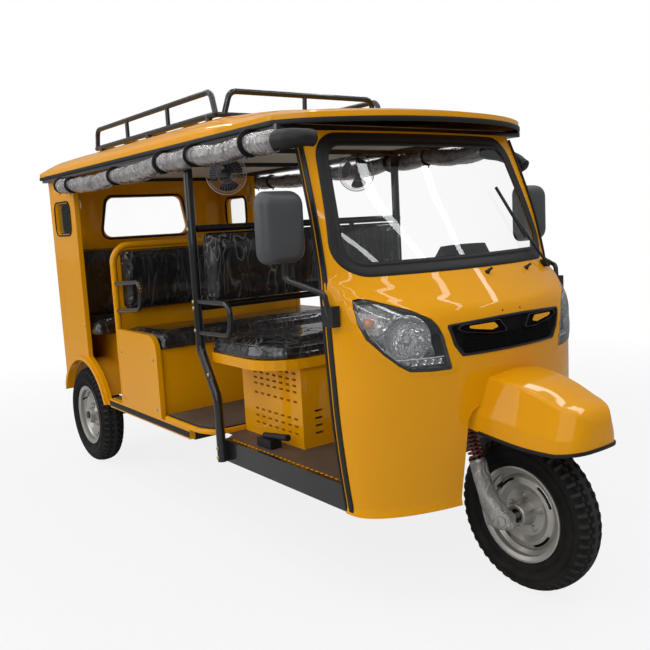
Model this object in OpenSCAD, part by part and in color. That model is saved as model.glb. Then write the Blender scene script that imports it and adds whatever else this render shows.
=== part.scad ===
// Electric passenger tricycle: one steered front wheel, two driven rear wheels, three bench seats
// under a fixed roof. Millimetres, +Z up, the nose towards -Y, the vehicle's left towards +X.
// The pieces are drawn with the front axle at y = 0 and moved as one, so that the origin lies on the
// ground under the middle of the vehicle.

/* [Wheels] */
// Distance between the front and rear axles
wheelbase = 2675; // [2500:5:2800]
// Distance between the middles of the rear tyres
track = 1060; // [1050:2:1080]
// Outer diameter of a tyre
tyre_d = 544; // [530:2:552]
// Section width of a tyre
tyre_w = 125; // [115:1:130]
// Diameter of the rim at the bead seat
rim_d = 305; // [295:1:312]
// Width of the rim between its flanges
rim_w = 90; // [84:1:96]
// Number of wheel nuts on each disc
wheel_nuts = 5; // [3:1:6]
// Radius of the circle of wheel nuts
nut_circle_r = 62; // [56:1:68]

/* [Front fork] */
// Rake of the steering axis from the vertical
rake = 20; // [16:1:24]
// Distance of the steering axis behind the front axle, at axle height
axle_lead = 60; // [50:1:70]
// Distance of each fork leg from the middle
leg_x = 112; // [105:1:118]
// Diameter of a fork slider
slider_d = 54; // [44:1:58]
// Height of the handlebar clamp above the ground
bar_z = 975; // [960:1:985]
// Half width of the handlebar
bar_half_w = 275; // [255:5:285]
// Diameter of the steering stem
stem_d = 44; // [36:1:50]

/* [Body] */
// Width over the rear side panels
body_w = 1166; // [1150:2:1180]
// Thickness of a body panel
panel_t = 25; // [16:1:30]
// Thickness of the front cowl's shell
cowl_t = 14; // [10:1:18]
// Height of the floor
floor_z = 420; // [410:1:440]
// Height of the pillar tops
pillar_top = 1612; // [1600:1:1620]
// Distance of the back panel's rear face behind the rear axle
tail_y = 310; // [295:1:320]
// Front edge of the rear side panels, ahead of the rear axle
door_edge = 95; // [85:1:110]
// Radius of the rear wheel arch
arch_r = 322; // [312:1:330]

/* [Roof] */
// Distance by which the roof stands out beyond each side panel
roof_overhang = 37; // [32:1:47]
// Height of the roof's crown above its edge
roof_rise = 118; // [95:1:130]
// Distance of the roof's tip ahead of its corners
roof_bow = 255; // [200:5:280]
// Distance of the roof's rear edge behind the rear axle
roof_tail = 335; // [325:1:345]
// Thickness of the roof's shell
roof_t = 14; // [10:1:18]
// Height of the luggage rails above the rack's base
rack_h = 96; // [80:2:130]

/* [Seats] */
// Height of the seat pans' top
pan_z = 785; // [760:1:800]
// Thickness of a seat cushion
cushion_t = 66; // [50:1:80]
// Depth of the driver's seat
driver_depth = 495; // [470:5:510]
// Thickness of a backrest pad
back_t = 58; // [45:1:70]
// Height of the passenger backrests' top
back_top = 1225; // [1180:5:1260]

/* [Cabin fans] */
// Outer diameter of a cabin fan's cage
fan_d = 178; // [160:2:184]
// Distance of each cabin fan from the middle of the vehicle
fan_x = 362; // [320:2:400]

/* [Hidden] */
$fn = 48;

yellow = "#e3a012";
black = "#1d1d1f";
silver = "#c2c4c6";
clear = "#9fb0b8";

// Small gaps between pieces that seat on each other
seat_gap = 0.3;
run_gap = 0.06;

// Overall length, with the mudguard's tip ahead of the front axle
nose_y = 290;
overall_l = wheelbase + nose_y + roof_tail;
tyre_r = tyre_d / 2;
rear_y = wheelbase;
body_x = body_w / 2;
back_y = rear_y + tail_y;

// Chassis
rail_x = 300;
rail_w = 44;
rail_h = 80;
floor_t = 12;
rail_top = floor_z - floor_t;
cross_h = 40;
sill_x = body_x - 37;
sill_t = 26;
sill_bottom = 328;
step_x = body_x - 3;
step_t = 28;
step_bottom = floor_z - 44;
sill_front_y = 324;
pillar_y = 1245;
pillar_r = 19;
pillar_x = sill_x + pillar_r + 5;
step_front_y = 1345;

// Steering axis: a point on it at axle height, and its direction
axis_dir = [0, sin(rake), cos(rake)];
function on_axis(z) = [0, axle_lead + (z - tyre_r) * tan(rake), z];
crown_z = 606;
head_bottom_z = 650;
head_top_z = 820;

// Cowl: each row is height, half width, rear edge, nose and fullness of the bow in plan
COWL = [
    [330, body_x - 31, 280, 75, 0.5],
    [480, body_x - 23, 298, 62, 0.5],
    [640, body_x - 18, 314, 50, 0.5],
    [780, body_x - 17, 324, 42, 0.5],
    [880, body_x - 16, 330, 38, 0.5],
    [950, body_x - 16, 334, 42, 0.5],
    [1010, body_x - 17, 340, 70, 0.55],
    [1080, body_x - 20, 348, 150, 0.7],
    [1145, body_x - 23, 356, 215, 0.9],
    [1300, body_x - 30, 392, 315, 1],
    [1450, body_x - 40, 442, 390, 1],
    [pillar_top, body_x - 54, 502, 455, 1]
];
cowl_steps = 24;
jamb = 30;

// Windscreen outline, seen from the front
screen_bottom_z = 1150;
screen_top_z = 1570;
screen_bottom_x = body_x - 75;
screen_top_x = body_x - 131;
screen_corner = 70;
seal_w = 34;

// Roof: rests on the rails at the pillar tops
roof_rail_h = 20;
roof_rail_w = 30;
roof_edge_z = pillar_top + roof_rail_h;
roof_edge_h = 28;
roof_corner_y = 540;
roof_x = body_x + roof_overhang;
roof_end_y = rear_y + roof_tail;
roof_rail_x = pillar_x - 8;

// Luggage rack
rack_x = body_x - 133;
rack_front_y = rear_y - 1485;
rack_back_y = rear_y - 171;
rack_r = 12;

// Seats
seat_x = sill_x - 4;
driver_front_y = pillar_y - driver_depth;
mid_front_y = rear_y - 975;
mid_back_y = rear_y - 545;
rear_front_y = rear_y - 175;
box_x = body_x - 183;
plate_t = 25;
bench_x = step_x;
// Gap between a rear tyre and the seat box, and the box half width that it leaves
wheel_gap = 42.5;
tank_half_x = track / 2 - tyre_w / 2 - wheel_gap;

// Rounds every corner of an outline by the radius r, with n chords to a corner
function round_corners(pts, r, n = 6) = [
    for (i = [0 : len(pts) - 1])
        let (p = pts[i],
             a = pts[(i + len(pts) - 1) % len(pts)] - p,
             b = pts[(i + 1) % len(pts)] - p,
             ua = a / norm(a), ub = b / norm(b),
             half = acos(ua * ub) / 2,
             d = r / tan(half),
             c = p + (ua + ub) / norm(ua + ub) * r / sin(half),
             s = p + ua * d - c, e = p + ub * d - c,
             a0 = atan2(s.y, s.x),
             turn = atan2(e.y, e.x) - a0,
             sweep = turn > 180 ? turn - 360 : turn < -180 ? turn + 360 : turn)
            for (k = [0 : n]) c + r * [cos(a0 + sweep * k / n), sin(a0 + sweep * k / n)]
];

// Closed solid through a list of loops with equal numbers of points
module loft(loops) {
    n = len(loops[0]);
    m = len(loops);
    sides = [for (i = [0 : m - 2], j = [0 : n - 1])
        each [[i * n + j, (i + 1) * n + (j + 1) % n, i * n + (j + 1) % n],
              [i * n + j, (i + 1) * n + j, (i + 1) * n + (j + 1) % n]]];
    ends = [[for (j = [0 : n - 1]) j], [for (j = [n - 1 : -1 : 0]) (m - 1) * n + j]];
    polyhedron([for (l = loops) each l], concat(sides, ends));
}

// Closed wall between a list of outer lines and a list of inner lines with equal numbers of points
module wall_loft(outer, inner) {
    n = len(outer[0]);
    m = len(outer);
    function o(i, j) = i * n + j;
    function q(i, j) = m * n + i * n + j;
    skins = [for (i = [0 : m - 2], j = [0 : n - 2])
        each [[o(i, j), o(i + 1, j + 1), o(i, j + 1)], [o(i, j), o(i + 1, j), o(i + 1, j + 1)],
              [q(i, j), q(i, j + 1), q(i + 1, j + 1)], [q(i, j), q(i + 1, j + 1), q(i + 1, j)]]];
    rims = [for (j = [0 : n - 2])
        each [[o(0, j), o(0, j + 1), q(0, j + 1)], [o(0, j), q(0, j + 1), q(0, j)],
              [o(m - 1, j), q(m - 1, j + 1), o(m - 1, j + 1)], [o(m - 1, j), q(m - 1, j), q(m - 1, j + 1)]]];
    jambs = [for (i = [0 : m - 2])
        each [[o(i, 0), q(i, 0), q(i + 1, 0)], [o(i, 0), q(i + 1, 0), o(i + 1, 0)],
              [o(i, n - 1), q(i + 1, n - 1), q(i, n - 1)], [o(i, n - 1), o(i + 1, n - 1), q(i + 1, n - 1)]]];
    polyhedron(concat([for (l = outer) each l], [for (l = inner) each l]), concat(skins, rims, jambs));
}

// Round bar between two points
module bar(a, b, r) {
    v = b - a;
    translate(a) rotate([0, acos(v.z / norm(v)), atan2(v.y, v.x)]) cylinder(r = r, h = norm(v));
}

// Round tube bent through a list of points, with a sleeved bend of the given radius at each inner point
module bent_bar(pts, r, bend) {
    last = len(pts) - 1;
    sleeve = 0.4;
    lap = 2;
    function unit(i) = (pts[i + 1] - pts[i]) / norm(pts[i + 1] - pts[i]);
    function turn(i) = acos(max(-1, min(1, unit(i - 1) * unit(i))));
    function cut(i) = i == 0 || i == last ? 0 : bend * tan(turn(i) / 2);
    for (i = [0 : last - 1])
        bar(pts[i] + unit(i) * cut(i), pts[i + 1] - unit(i) * cut(i + 1), r);
    for (i = [1 : 1 : last - 1]) {
        d = unit(i - 1);
        n = cross(d, unit(i)) / norm(cross(d, unit(i)));
        u = cross(d, n);
        c = pts[i] - d * cut(i) - u * bend;
        multmatrix([[u.x, d.x, n.x, c.x], [u.y, d.y, n.y, c.y], [u.z, d.z, n.z, c.z], [0, 0, 0, 1]])
            rotate([0, 0, -lap]) rotate_extrude(angle = turn(i) + 2 * lap)
                translate([bend, 0]) circle(r + sleeve);
    }
}

// Box between two corners
module block(a, b) { translate(a) cube(b - a); }

// Outline in the YZ plane, from x to x + t
module plate_x(pts, x, t) { translate([x, 0, 0]) rotate([90, 0, 90]) linear_extrude(t) polygon(pts); }

// Outline in the XZ plane, from y to y + t
module plate_y(pts, y, t) { translate([0, y + t, 0]) rotate([90, 0, 0]) linear_extrude(t) polygon(pts); }

// Outline in the XY plane, from z to z + t
module plate_z(pts, z, t) { translate([0, 0, z]) linear_extrude(t) polygon(pts); }

// Copies its children on both sides of the vehicle
module both_sides() { children(); mirror([1, 0, 0]) children(); }

// Turns a piece drawn upright at the middle on to the steering axis, with its foot at axle height
module on_steering_axis() { translate(on_axis(tyre_r)) rotate([-rake, 0, 0]) children(); }

// Height along the steering axis of a level above the ground
function axis_h(z) = (z - tyre_r) / cos(rake);

// One level of the cowl, moved inwards by inset, with its ends carried back by reach
function cowl_line(row, inset, reach) = concat(
    [[inset - row[1], row[2] + reach, row[0]]],
    [for (k = [0 : cowl_steps])
        let (t = -90 + 180 * k / cowl_steps)
            [(row[1] - inset) * sin(t), row[2] - (row[2] - row[3] - inset) * pow(cos(t), 2 * row[4]), row[0]]],
    [[row[1] - inset, row[2] + reach, row[0]]]);

// Shell between two insets of the cowl's surface
module cowl_skin(outside, inside) {
    wall_loft([for (row = COWL) cowl_line(row, outside, jamb)],
        [for (row = COWL) cowl_line(row, inside, jamb)]);
}

// Solid filled by the cowl's surface, up to a little behind its rear edge
module cowl_solid(outside) {
    reach = 160;
    loft([for (row = COWL) cowl_line(row, outside, reach)]);
}

// Outline of the windscreen, grown by edge
function screen_outline(edge) = round_corners([
    [-screen_bottom_x - edge, screen_bottom_z - edge], [screen_bottom_x + edge, screen_bottom_z - edge],
    [screen_top_x + edge, screen_top_z + edge], [-screen_top_x - edge, screen_top_z + edge]],
    screen_corner + edge);

// Headlamp on the right seen from the front, grown by edge
function lamp_outline(edge) = round_corners([
    [38 - body_x - edge, 1046 + edge], [112 - body_x, 1030 + edge], [230 - body_x + edge, 958 + edge],
    [303 - body_x + edge, 812 - edge], [158 - body_x, 812 - edge], [63 - body_x - edge, 922 - edge]], 12, 4);

// Prism over a headlamp
module lamp_prism(edge) { plate_y(lamp_outline(edge), 0, 420); }

// Grille seen from the front, grown by edge
function grille_outline(edge) = round_corners([
    [-282 - edge, 950 + edge], [-60, 938 + edge], [60, 938 + edge], [282 + edge, 950 + edge],
    [250 + edge, 862], [205, 830 - edge], [-205, 830 - edge], [-250 - edge, 862]], 9, 3);

module front_cowl() {
    well_x = 236;
    well_top = 668;
    lamp_gap = 1;
    color(yellow) difference() {
        cowl_skin(0, cowl_t);
        plate_y(screen_outline(0), 100, 500);
        lamp_prism(lamp_gap);
        mirror([1, 0, 0]) lamp_prism(lamp_gap);
        plate_y(grille_outline(lamp_gap), 0, 140);
        plate_y(round_corners([[-well_x, 300], [well_x, 300], [well_x - 30, well_top],
            [-well_x + 30, well_top]], 60), 0, 280);
    }
}

module windscreen() {
    color(clear) intersection() {
        cowl_skin(3, 9);
        plate_y(screen_outline(-seat_gap), 100, 500);
    }
}

// Rubber frames on the outside of the glass
module window_seals() {
    lip = 9;
    color(black) {
        intersection() {
            cowl_skin(-lip, -seat_gap);
            difference() {
                plate_y(screen_outline(seal_w), 60, 520);
                plate_y(screen_outline(-10), 50, 560);
            }
        }
        both_sides() difference() {
            plate_x(quarter_outline(window_seal), -body_x - lip, lip);
            plate_x(quarter_outline(-6), -body_x - lip - 1, lip + 2);
        }
        difference() {
            plate_y(back_outline(window_seal), back_y, lip);
            plate_y(back_outline(-6), back_y - 1, lip + 2);
        }
    }
}

module headlamps() {
    lens_out = -4;
    lamp_depth = 60;
    color(silver) both_sides() intersection() {
        cowl_skin(lens_out, lamp_depth);
        lamp_prism(0);
    }
}

module grille() {
    color(black) difference() {
        intersection() {
            cowl_skin(-4, cowl_t + 6);
            plate_y(grille_outline(0), 0, 140);
        }
        both_sides()
            plate_y(round_corners([[-210, 934], [-118, 934], [-106, 912], [-122, 908]], 4, 2), 0, 140);
    }
}

// Mudguard: each row is distance from the axle, half width, lower edge and top
MUDGUARD = [
    [-nose_y, 84, 556, 612], [-250, 116, 549, 672], [-200, 138, 545, 704], [-120, 154, 550, 737],
    [-40, 164, 560, 760], [60, 174, 577, 772], [170, 182, 596, 774]
];
mud_wall = 6;
function mud_loop(y, w, low, top) =
    let (skirt = min(66, (top - low) * 0.6), shoulder = low + skirt + (top - low - skirt) * 0.62)
        [[-w, y, low], [-w + 3, y, low + skirt], [-w * 0.8, y, shoulder], [-w * 0.5, y, top - 4], [0, y, top],
         [w * 0.5, y, top - 4], [w * 0.8, y, shoulder], [w - 3, y, low + skirt], [w, y, low]];

module front_mudguard() {
    tail = 40;
    color(yellow) difference() {
        loft([for (m = MUDGUARD) mud_loop(m[0], m[1], m[2], m[3])]);
        loft([for (m = MUDGUARD)
            mud_loop(m[0] + (m[0] < 0 ? mud_wall : tail), m[1] - mud_wall, m[2] - 5, m[3] - mud_wall)]);
        cowl_solid(-seat_gap);
    }
}

module dashboard() {
    shelf_t = 22;
    shelf_z = 1092;
    pod_w = 230;
    color(black) {
        intersection() {
            cowl_solid(cowl_t + seat_gap);
            union() {
                block([-560, 100, shelf_z], [560, 300, shelf_z + shelf_t]);
                plate_x(round_corners([[190, shelf_z], [300, shelf_z], [300, shelf_z + 60], [262, shelf_z + 108],
                    [222, shelf_z + 108]], 8, 3), -pod_w / 2, pod_w);
            }
        }
    }
}

module wiper() {
    pivot = [body_x - 153, 232, 1097];
    mid = [body_x - 247, 326, 1300];
    half_blade = [-36, 42, 100];
    color(black) {
        difference() {
            bar(pivot + [0, 52, 0], pivot - [0, 8, 0], 14);
            cowl_solid(-seat_gap);
        }
        bar(pivot, mid, 5);
        bar(mid - half_blade, mid + half_blade, 6);
    }
}

module chassis_frame() {
    head_r = stem_d / 2 + 8;
    neck_z = (head_bottom_z + head_top_z) / 2;
    down_foot = [150, 520, rail_top - cross_h / 2];
    color(black) difference() {
        union() {
            both_sides() {
                block([rail_x - rail_w / 2, 380, rail_top - rail_h],
                    [rail_x + rail_w / 2, back_y - panel_t - 5, rail_top]);
                bar([18, on_axis(neck_z).y + 20, neck_z + 20], down_foot, 17);
            }
            for (y = [400, 500, 780, 1060])
                block([-sill_x + sill_t, y, rail_top - cross_h], [sill_x - sill_t, y + cross_h, rail_top]);
            for (y = [rear_y - 1275, rear_y - 955, rear_y - 615])
                block([-step_x + step_t, y, rail_top - cross_h], [step_x - step_t, y + cross_h, rail_top]);
            for (y = [rear_y - 270, rear_y + 230])
                block([-tank_half_x, y, rail_top - cross_h], [tank_half_x, y + cross_h, rail_top]);
            on_steering_axis() translate([0, 0, axis_h(head_bottom_z)])
                cylinder(r = head_r, h = axis_h(head_top_z) - axis_h(head_bottom_z));
        }
        on_steering_axis() cylinder(r = stem_d / 2 + run_gap, h = 900);
    }
}

module floor_panel() {
    front_x = sill_x - sill_t;
    step_in = step_x - step_t;
    tunnel_x = 300;
    color("#6b5a4e") plate_z(concat(
        [[-front_x, sill_front_y + 4], [-tunnel_x, sill_front_y + 4], [60 - tunnel_x, 548], [tunnel_x - 60, 548],
         [tunnel_x, sill_front_y + 4], [front_x, sill_front_y + 4], [front_x, foot_y + 24], [step_in - 90, foot_y + 70]],
        [for (k = [0 : 6]) [step_in - 90 + 90 * sin(15 * k), step_front_y + 20 + 90 - 90 * cos(15 * k) - 60]],
        [[step_in, rear_y - arch_r - 14], [tank_half_x, rear_y - arch_r - 14], [tank_half_x, back_y - panel_t - 2],
         [-tank_half_x, back_y - panel_t - 2], [-tank_half_x, rear_y - arch_r - 14], [-step_in, rear_y - arch_r - 14]],
        [for (k = [6 : -1 : 0]) [-step_in + 90 - 90 * sin(15 * k), step_front_y + 20 + 90 - 90 * cos(15 * k) - 60]],
        [[90 - step_in, foot_y + 70], [-front_x, foot_y + 24]]), rail_top, floor_t);
}

module front_sills() {
    color(black) both_sides()
        block([sill_x - sill_t, sill_front_y, sill_bottom], [sill_x, foot_y + 24, floor_z]);
}

module rear_sills() {
    color(yellow) both_sides()
        block([step_x - step_t, step_front_y + 50, step_bottom], [step_x, rear_y - arch_r - 30 - seat_gap, floor_z]);
}

// Pillars upright at the top, swept forward to the sill below the seat
foot_y = pillar_y - 118;
module b_pillars() {
    foot_z = sill_bottom + 6;
    color(black) both_sides() {
        bent_bar([[-pillar_x, pillar_y, pillar_top], [-pillar_x, pillar_y, 800],
                  [-pillar_x, foot_y, 600], [-pillar_x, foot_y, foot_z]], pillar_r, 90);
        block([-pillar_x, foot_y - 22, foot_z + 3], [-sill_x, foot_y + 22, foot_z + 90]);
        bent_bar([[-pillar_x, pillar_y, 1000], [-pillar_x, pillar_y - 276, 1004],
                  [-pillar_x, pillar_y - 258, 876], [-pillar_x, pillar_y, 868]], 11, 44);
    }
}

// Roof frame: rails as wide as the soffit under the roof's edge, joined by bows
module roof_frame() {
    bow_w = 26;
    inner = roof_rail_x - roof_rail_w / 2;
    front = COWL[11][2];
    color(black) {
        both_sides() block([inner, front, pillar_top], [roof_x - 4, back_y, roof_edge_z]);
        for (y = [front, pillar_y - bow_w / 2, rear_y - 775, back_y - bow_w])
            block([-inner - 1, y, pillar_top], [inner + 1, y + bow_w, roof_edge_z]);
    }
}

// Roof: each row is the share of the half width and of the rise, from the edge to the middle, with a
// level ledge for the rack's feet
ROOF_RIB = [
    [1, 0], [1, 0.05], [0.97, 0.26], [0.90, 0.56], [0.82, 0.76], [0.78, 0.80], [0.66, 0.80], [0.56, 0.89],
    [0.30, 0.97], [0, 1]
];
// Stations along the roof: share of the way from the corners back, and share of the full height
ROOF_STATIONS = [[0, 0.04], [0.03, 0.3], [0.08, 0.58], [0.16, 0.86], [0.25, 1], [0.90, 1], [0.97, 0.9], [1, 0.7]];
ledge_z = roof_edge_z + roof_edge_h + (roof_rise - roof_edge_h) * ROOF_RIB[5][1];

// Half of the roof's section, from the edge to the middle, at height share s and inset i
function rib(s, i) = [for (p = ROOF_RIB) [(roof_x - i) * p[0], max(0, roof_edge_h * (p[1] > 0 ? 1 : 0)
    + (roof_rise - roof_edge_h) * p[1] * s - i * (p[1] > 0 ? 1 : 0))]];
// Front edge of the roof in plan, bowed forward between the corners
function bow_y(x) = roof_corner_y - roof_bow * pow(max(0, 1 - pow(x / roof_x, 2)), 0.7);
// One whole section of the roof, swept forward by the bow where near the front
function roof_loop(st, i) =
    let (half = rib(st[1], i), n = len(half))
        [for (k = [0 : 2 * n - 2])
            let (p = k < n ? [-half[k].x, half[k].y] : half[2 * n - 2 - k],
                 fade = max(0, 1 - st[0] / 0.16),
                 y = roof_corner_y + (roof_end_y - roof_corner_y) * st[0] + (bow_y(p.x) - roof_corner_y) * fade)
                [p.x, y, roof_edge_z + p.y]];
module roof_solid(i, drop) {
    loft([for (st = ROOF_STATIONS)
        let (l = roof_loop(st, i), n = len(l), nudge = st[0] < 0.01 ? i : st[0] > 0.99 ? -i : 0)
            [for (k = [0 : n - 1]) l[k] + [0, nudge, (k == 0 || k == n - 1) ? -drop : 0]]]);
}

module roof_shell() {
    color(yellow) difference() {
        roof_solid(0, 0);
        intersection() {
            roof_solid(roof_t, 1);
            block([-roof_rail_x + roof_rail_w / 2, 0, roof_edge_z - 5],
                [roof_rail_x - roof_rail_w / 2, roof_end_y - 40, 2000]);
        }
    }
}

// Lining laid on the roof's bows
module roof_lining() {
    lining_x = roof_rail_x - roof_rail_w / 2 - 8;
    lining_t = 4;
    color("#c4baa8") block([-lining_x, 512, roof_edge_z + seat_gap],
        [lining_x, back_y - 30, roof_edge_z + seat_gap + lining_t]);
}

module roof_rack() {
    base_z = roof_edge_z + roof_rise + rack_r + seat_gap;
    top_z = base_z + rack_h;
    back_x = rack_x - 40;
    color(black) {
        both_sides() {
            bent_bar([[-rack_x, rack_front_y, base_z], [-rack_x, rack_front_y + 30, top_z],
                      [-rack_x, rack_back_y - 20, top_z], [-rack_x, rack_back_y, base_z]], rack_r, 40);
            bar([-rack_x, rack_front_y - 8, base_z], [-rack_x, rack_back_y + 8, base_z], rack_r + 1);
            for (y = [rack_front_y + 440, rack_front_y + 900])
                bar([-rack_x, y, base_z], [-rack_x, y, top_z], rack_r - 2);
            for (y = [rack_front_y + 60, (rack_front_y + rack_back_y) / 2, rack_back_y - 60])
                bar([-rack_x, y, ledge_z + seat_gap], [-rack_x, y, base_z], rack_r + 3);
        }
        for (y = [rack_front_y, rack_front_y + 330, rack_front_y + 660, rack_front_y + 1000, rack_back_y])
            bar([-rack_x, y, base_z], [rack_x, y, base_z], rack_r - 1);
        bent_bar([[-back_x, rack_front_y, base_z], [-back_x + 30, rack_front_y - 6, top_z],
                  [back_x - 30, rack_front_y - 6, top_z], [back_x, rack_front_y, base_z]], rack_r, 40);
        bar([0, rack_front_y, base_z], [0, rack_front_y - 6, top_z], rack_r - 2);
    }
}

// Slots of a vent in one face: rows of short slots in the YZ plane
module vent_slots(y0, rows, columns, pitch_y, x, depth) {
    for (z = rows, k = [0 : columns - 1])
        block([x - 1, y0 + k * pitch_y, z], [x + depth, y0 + k * pitch_y + 26, z + 9]);
}

module driver_seat_box() {
    front = 764;
    wall = 14;
    top = pan_z - 40;
    back = pillar_y - 40;
    color(yellow) difference() {
        block([-box_x, front, floor_z], [box_x, back, top]);
        block([-box_x + wall, front + wall, floor_z + 4], [box_x - wall, back - wall, top - 8]);
        for (side = [-1, 1])
            vent_slots(front + 34, [470, 500, 530, 600, 640, 665, 690, 715], 7, 48,
                side < 0 ? -box_x : box_x - wall, wall + 2);
        for (z = [470, 500, 530, 560], k = [-4 : 4])
            block([k * 80 - 20, front - 1, z], [k * 80 + 20, front + wall + 2, z + 9]);
    }
}

module battery_pack() {
    color("#3b4046") block([-box_x + 40, 800, floor_z + 4], [box_x - 40, pillar_y - 90, pan_z - 110]);
}

// Plan of a bench, with its front corners rounded
function bench(x, front, back, r) = concat(
    [for (k = [0 : 6]) [-x + r - r * cos(15 * k), front + r - r * sin(15 * k)]],
    [for (k = [0 : 6]) [x - r + r * sin(15 * k), front + r - r * cos(15 * k)]],
    [[x, back], [-x, back]]);

// Crowned cushion: the bench's outline, drawn in at the top
module cushion(x, front, back, r, z, t) {
    draw_in = 16;
    hull() {
        plate_z(bench(x, front, back, r), z, t * 0.7);
        plate_z(bench(x - draw_in, front + draw_in, back - draw_in, r), z, t);
    }
}

module driver_seat_pan() {
    color(yellow) plate_z(bench(seat_x, driver_front_y, pillar_y - 40, 170), pan_z - 40, 40);
}

module driver_cushion() {
    color(black) cushion(seat_x - 4, driver_front_y + 4, pillar_y - 42, 166, pan_z + seat_gap, cushion_t);
}

module driver_back_frame() {
    tube_r = 15;
    reach = pillar_x - pillar_r - seat_gap;
    color(black) {
        for (z = [974, 1302]) bar([-reach, pillar_y, z], [reach, pillar_y, z], tube_r);
        for (x = [-280, 280]) bar([x, pillar_y, 974], [x, pillar_y, 1302], tube_r - 3);
    }
}

module driver_back_pad() {
    x = seat_x - 6;
    color(black) plate_y(round_corners([[-x, 992], [x, 992], [x, 1284], [-x, 1284]], 20, 4),
        pillar_y - 12 - seat_gap - back_t, back_t);
}

// Box under a passenger bench: front panel, and a plate with a rounded shoulder at each side
module mid_seat_box() {
    top = pan_z - 40;
    inner = bench_x - plate_t;
    color(yellow) {
        difference() {
            block([-inner, mid_front_y, floor_z], [inner, mid_back_y, top]);
            block([-inner + 14, mid_front_y + 14, floor_z + 4], [inner - 14, mid_back_y - 14, top - 8]);
        }
        both_sides() plate_x(concat(
            [[mid_back_y, floor_z], [mid_back_y, pan_z + 30]],
            [for (k = [0 : 6]) [mid_front_y + 60 - 80 * sin(15 * k), pan_z - 50 + 80 * cos(15 * k)]],
            [[mid_front_y - 20, floor_z]]), inner, plate_t);
    }
}

module mid_cushion() {
    color(black) cushion(bench_x - plate_t - 4, mid_front_y - 24, mid_back_y - 30, 30,
        pan_z - 40 + seat_gap, cushion_t + 8);
}

module mid_back_frame() {
    tube_r = 16;
    x = bench_x - plate_t + 9;
    color(yellow) {
        bent_bar([[-x, mid_back_y + tube_r + 2, floor_z], [-x, mid_back_y + tube_r + 2, back_top + 14],
                  [x, mid_back_y + tube_r + 2, back_top + 14], [x, mid_back_y + tube_r + 2, floor_z]], tube_r, 90);
        plate_y([[-x, pan_z + 20], [x, pan_z + 20], [x, back_top - 70], [x - 70, back_top], [70 - x, back_top],
            [-x, back_top - 70]], mid_back_y + 12, 10);
        both_sides() bent_bar([[-x, mid_back_y + 14, 1046], [-x, mid_back_y - 300, 1064], [-x, mid_back_y - 276, 930],
                  [-x, mid_back_y + 14, 906]], 10, 40);
    }
}

module mid_back_pad() {
    x = bench_x - plate_t - 24;
    low = pan_z + 118;
    high = back_top - 8;
    color(black) plate_y(round_corners([[-x, low], [x, low], [x, high], [-x, high]], 40, 4),
        mid_back_y + 12 - seat_gap - back_t, back_t);
}

module rear_seat_box() {
    color(yellow) difference() {
        block([-tank_half_x, rear_front_y + 20, floor_z], [tank_half_x, back_y - panel_t - 2, pan_z - 40]);
        block([-tank_half_x + 14, rear_front_y + 34, floor_z + 4],
            [tank_half_x - 14, back_y - panel_t - 16, pan_z - 48]);
    }
}

module rear_cushion() {
    color(black) cushion(body_x - panel_t - 4, rear_front_y, back_y - panel_t - 80, 40,
        pan_z - 40 + seat_gap, cushion_t + 8);
}

module rear_back_pad() {
    x = body_x - panel_t - 4;
    low = pan_z - 38;
    high = back_top - 10;
    color(black) plate_y(round_corners([[-x, low], [x, low], [x, high], [-x, high]], 24, 4),
        back_y - panel_t - 74, 74 - seat_gap);
}

// Quarter window and rear window outlines
function quarter_outline(edge) = round_corners([
    [rear_y - 8 - edge, 1312 - edge], [rear_y + 226 + edge, 1312 - edge],
    [rear_y + 226 + edge, 1482 + edge], [rear_y - 8 - edge, 1482 + edge]], 36 + edge, 5);
function back_outline(edge) = round_corners([
    [-290 - edge, 1280 - edge], [290 + edge, 1280 - edge],
    [245 + edge, 1517 + edge], [-245 - edge, 1517 + edge]], 50 + edge, 5);
window_seal = 14;

// Side panel on the right, with its wheel arch, flared lip and quarter window
module side_panels() {
    outer = -body_x;
    front = rear_y - door_edge;
    foot = floor_z - 36;
    lip_t = 16;
    color(yellow) both_sides() {
        difference() {
            plate_x(concat([[back_y, foot], [back_y, pillar_top], [front, pillar_top], [front, tyre_r + arch_r + 30]],
                [for (k = [0 : 6]) let (a = 125 + 5.5 * k)
                    [rear_y + (arch_r + 34) * cos(a), tyre_r + (arch_r + 34) * sin(a)]],
                [[rear_y - arch_r - 30, foot]]), outer, panel_t);
            translate([outer - 1, rear_y, tyre_r]) rotate([0, 90, 0]) cylinder(r = arch_r, h = panel_t + 2, $fn = 96);
            plate_x(quarter_outline(0), outer - 1, panel_t + 2);
        }
        intersection() {
            translate([outer, rear_y, tyre_r]) rotate([0, -90, 0]) difference() {
                cylinder(r = arch_r + 22, h = lip_t, $fn = 96);
                translate([0, 0, -1]) cylinder(r = arch_r, h = lip_t + 2, $fn = 96);
            }
            block([outer - lip_t - 1, rear_y - 500, foot], [outer + 1, back_y, 1000]);
        }
    }
}

module back_panel() {
    inner = body_x - panel_t;
    color(yellow) difference() {
        block([-inner, back_y - panel_t, floor_z - 36], [inner, back_y, pillar_top]);
        plate_y(back_outline(0), back_y - panel_t - 1, panel_t + 2);
    }
}

module rear_glass() {
    glass_t = 5;
    color(clear) {
        both_sides() plate_x(quarter_outline(-seat_gap), -body_x + 10, glass_t);
        plate_y(back_outline(-seat_gap), back_y - 15, glass_t);
    }
}

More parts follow.
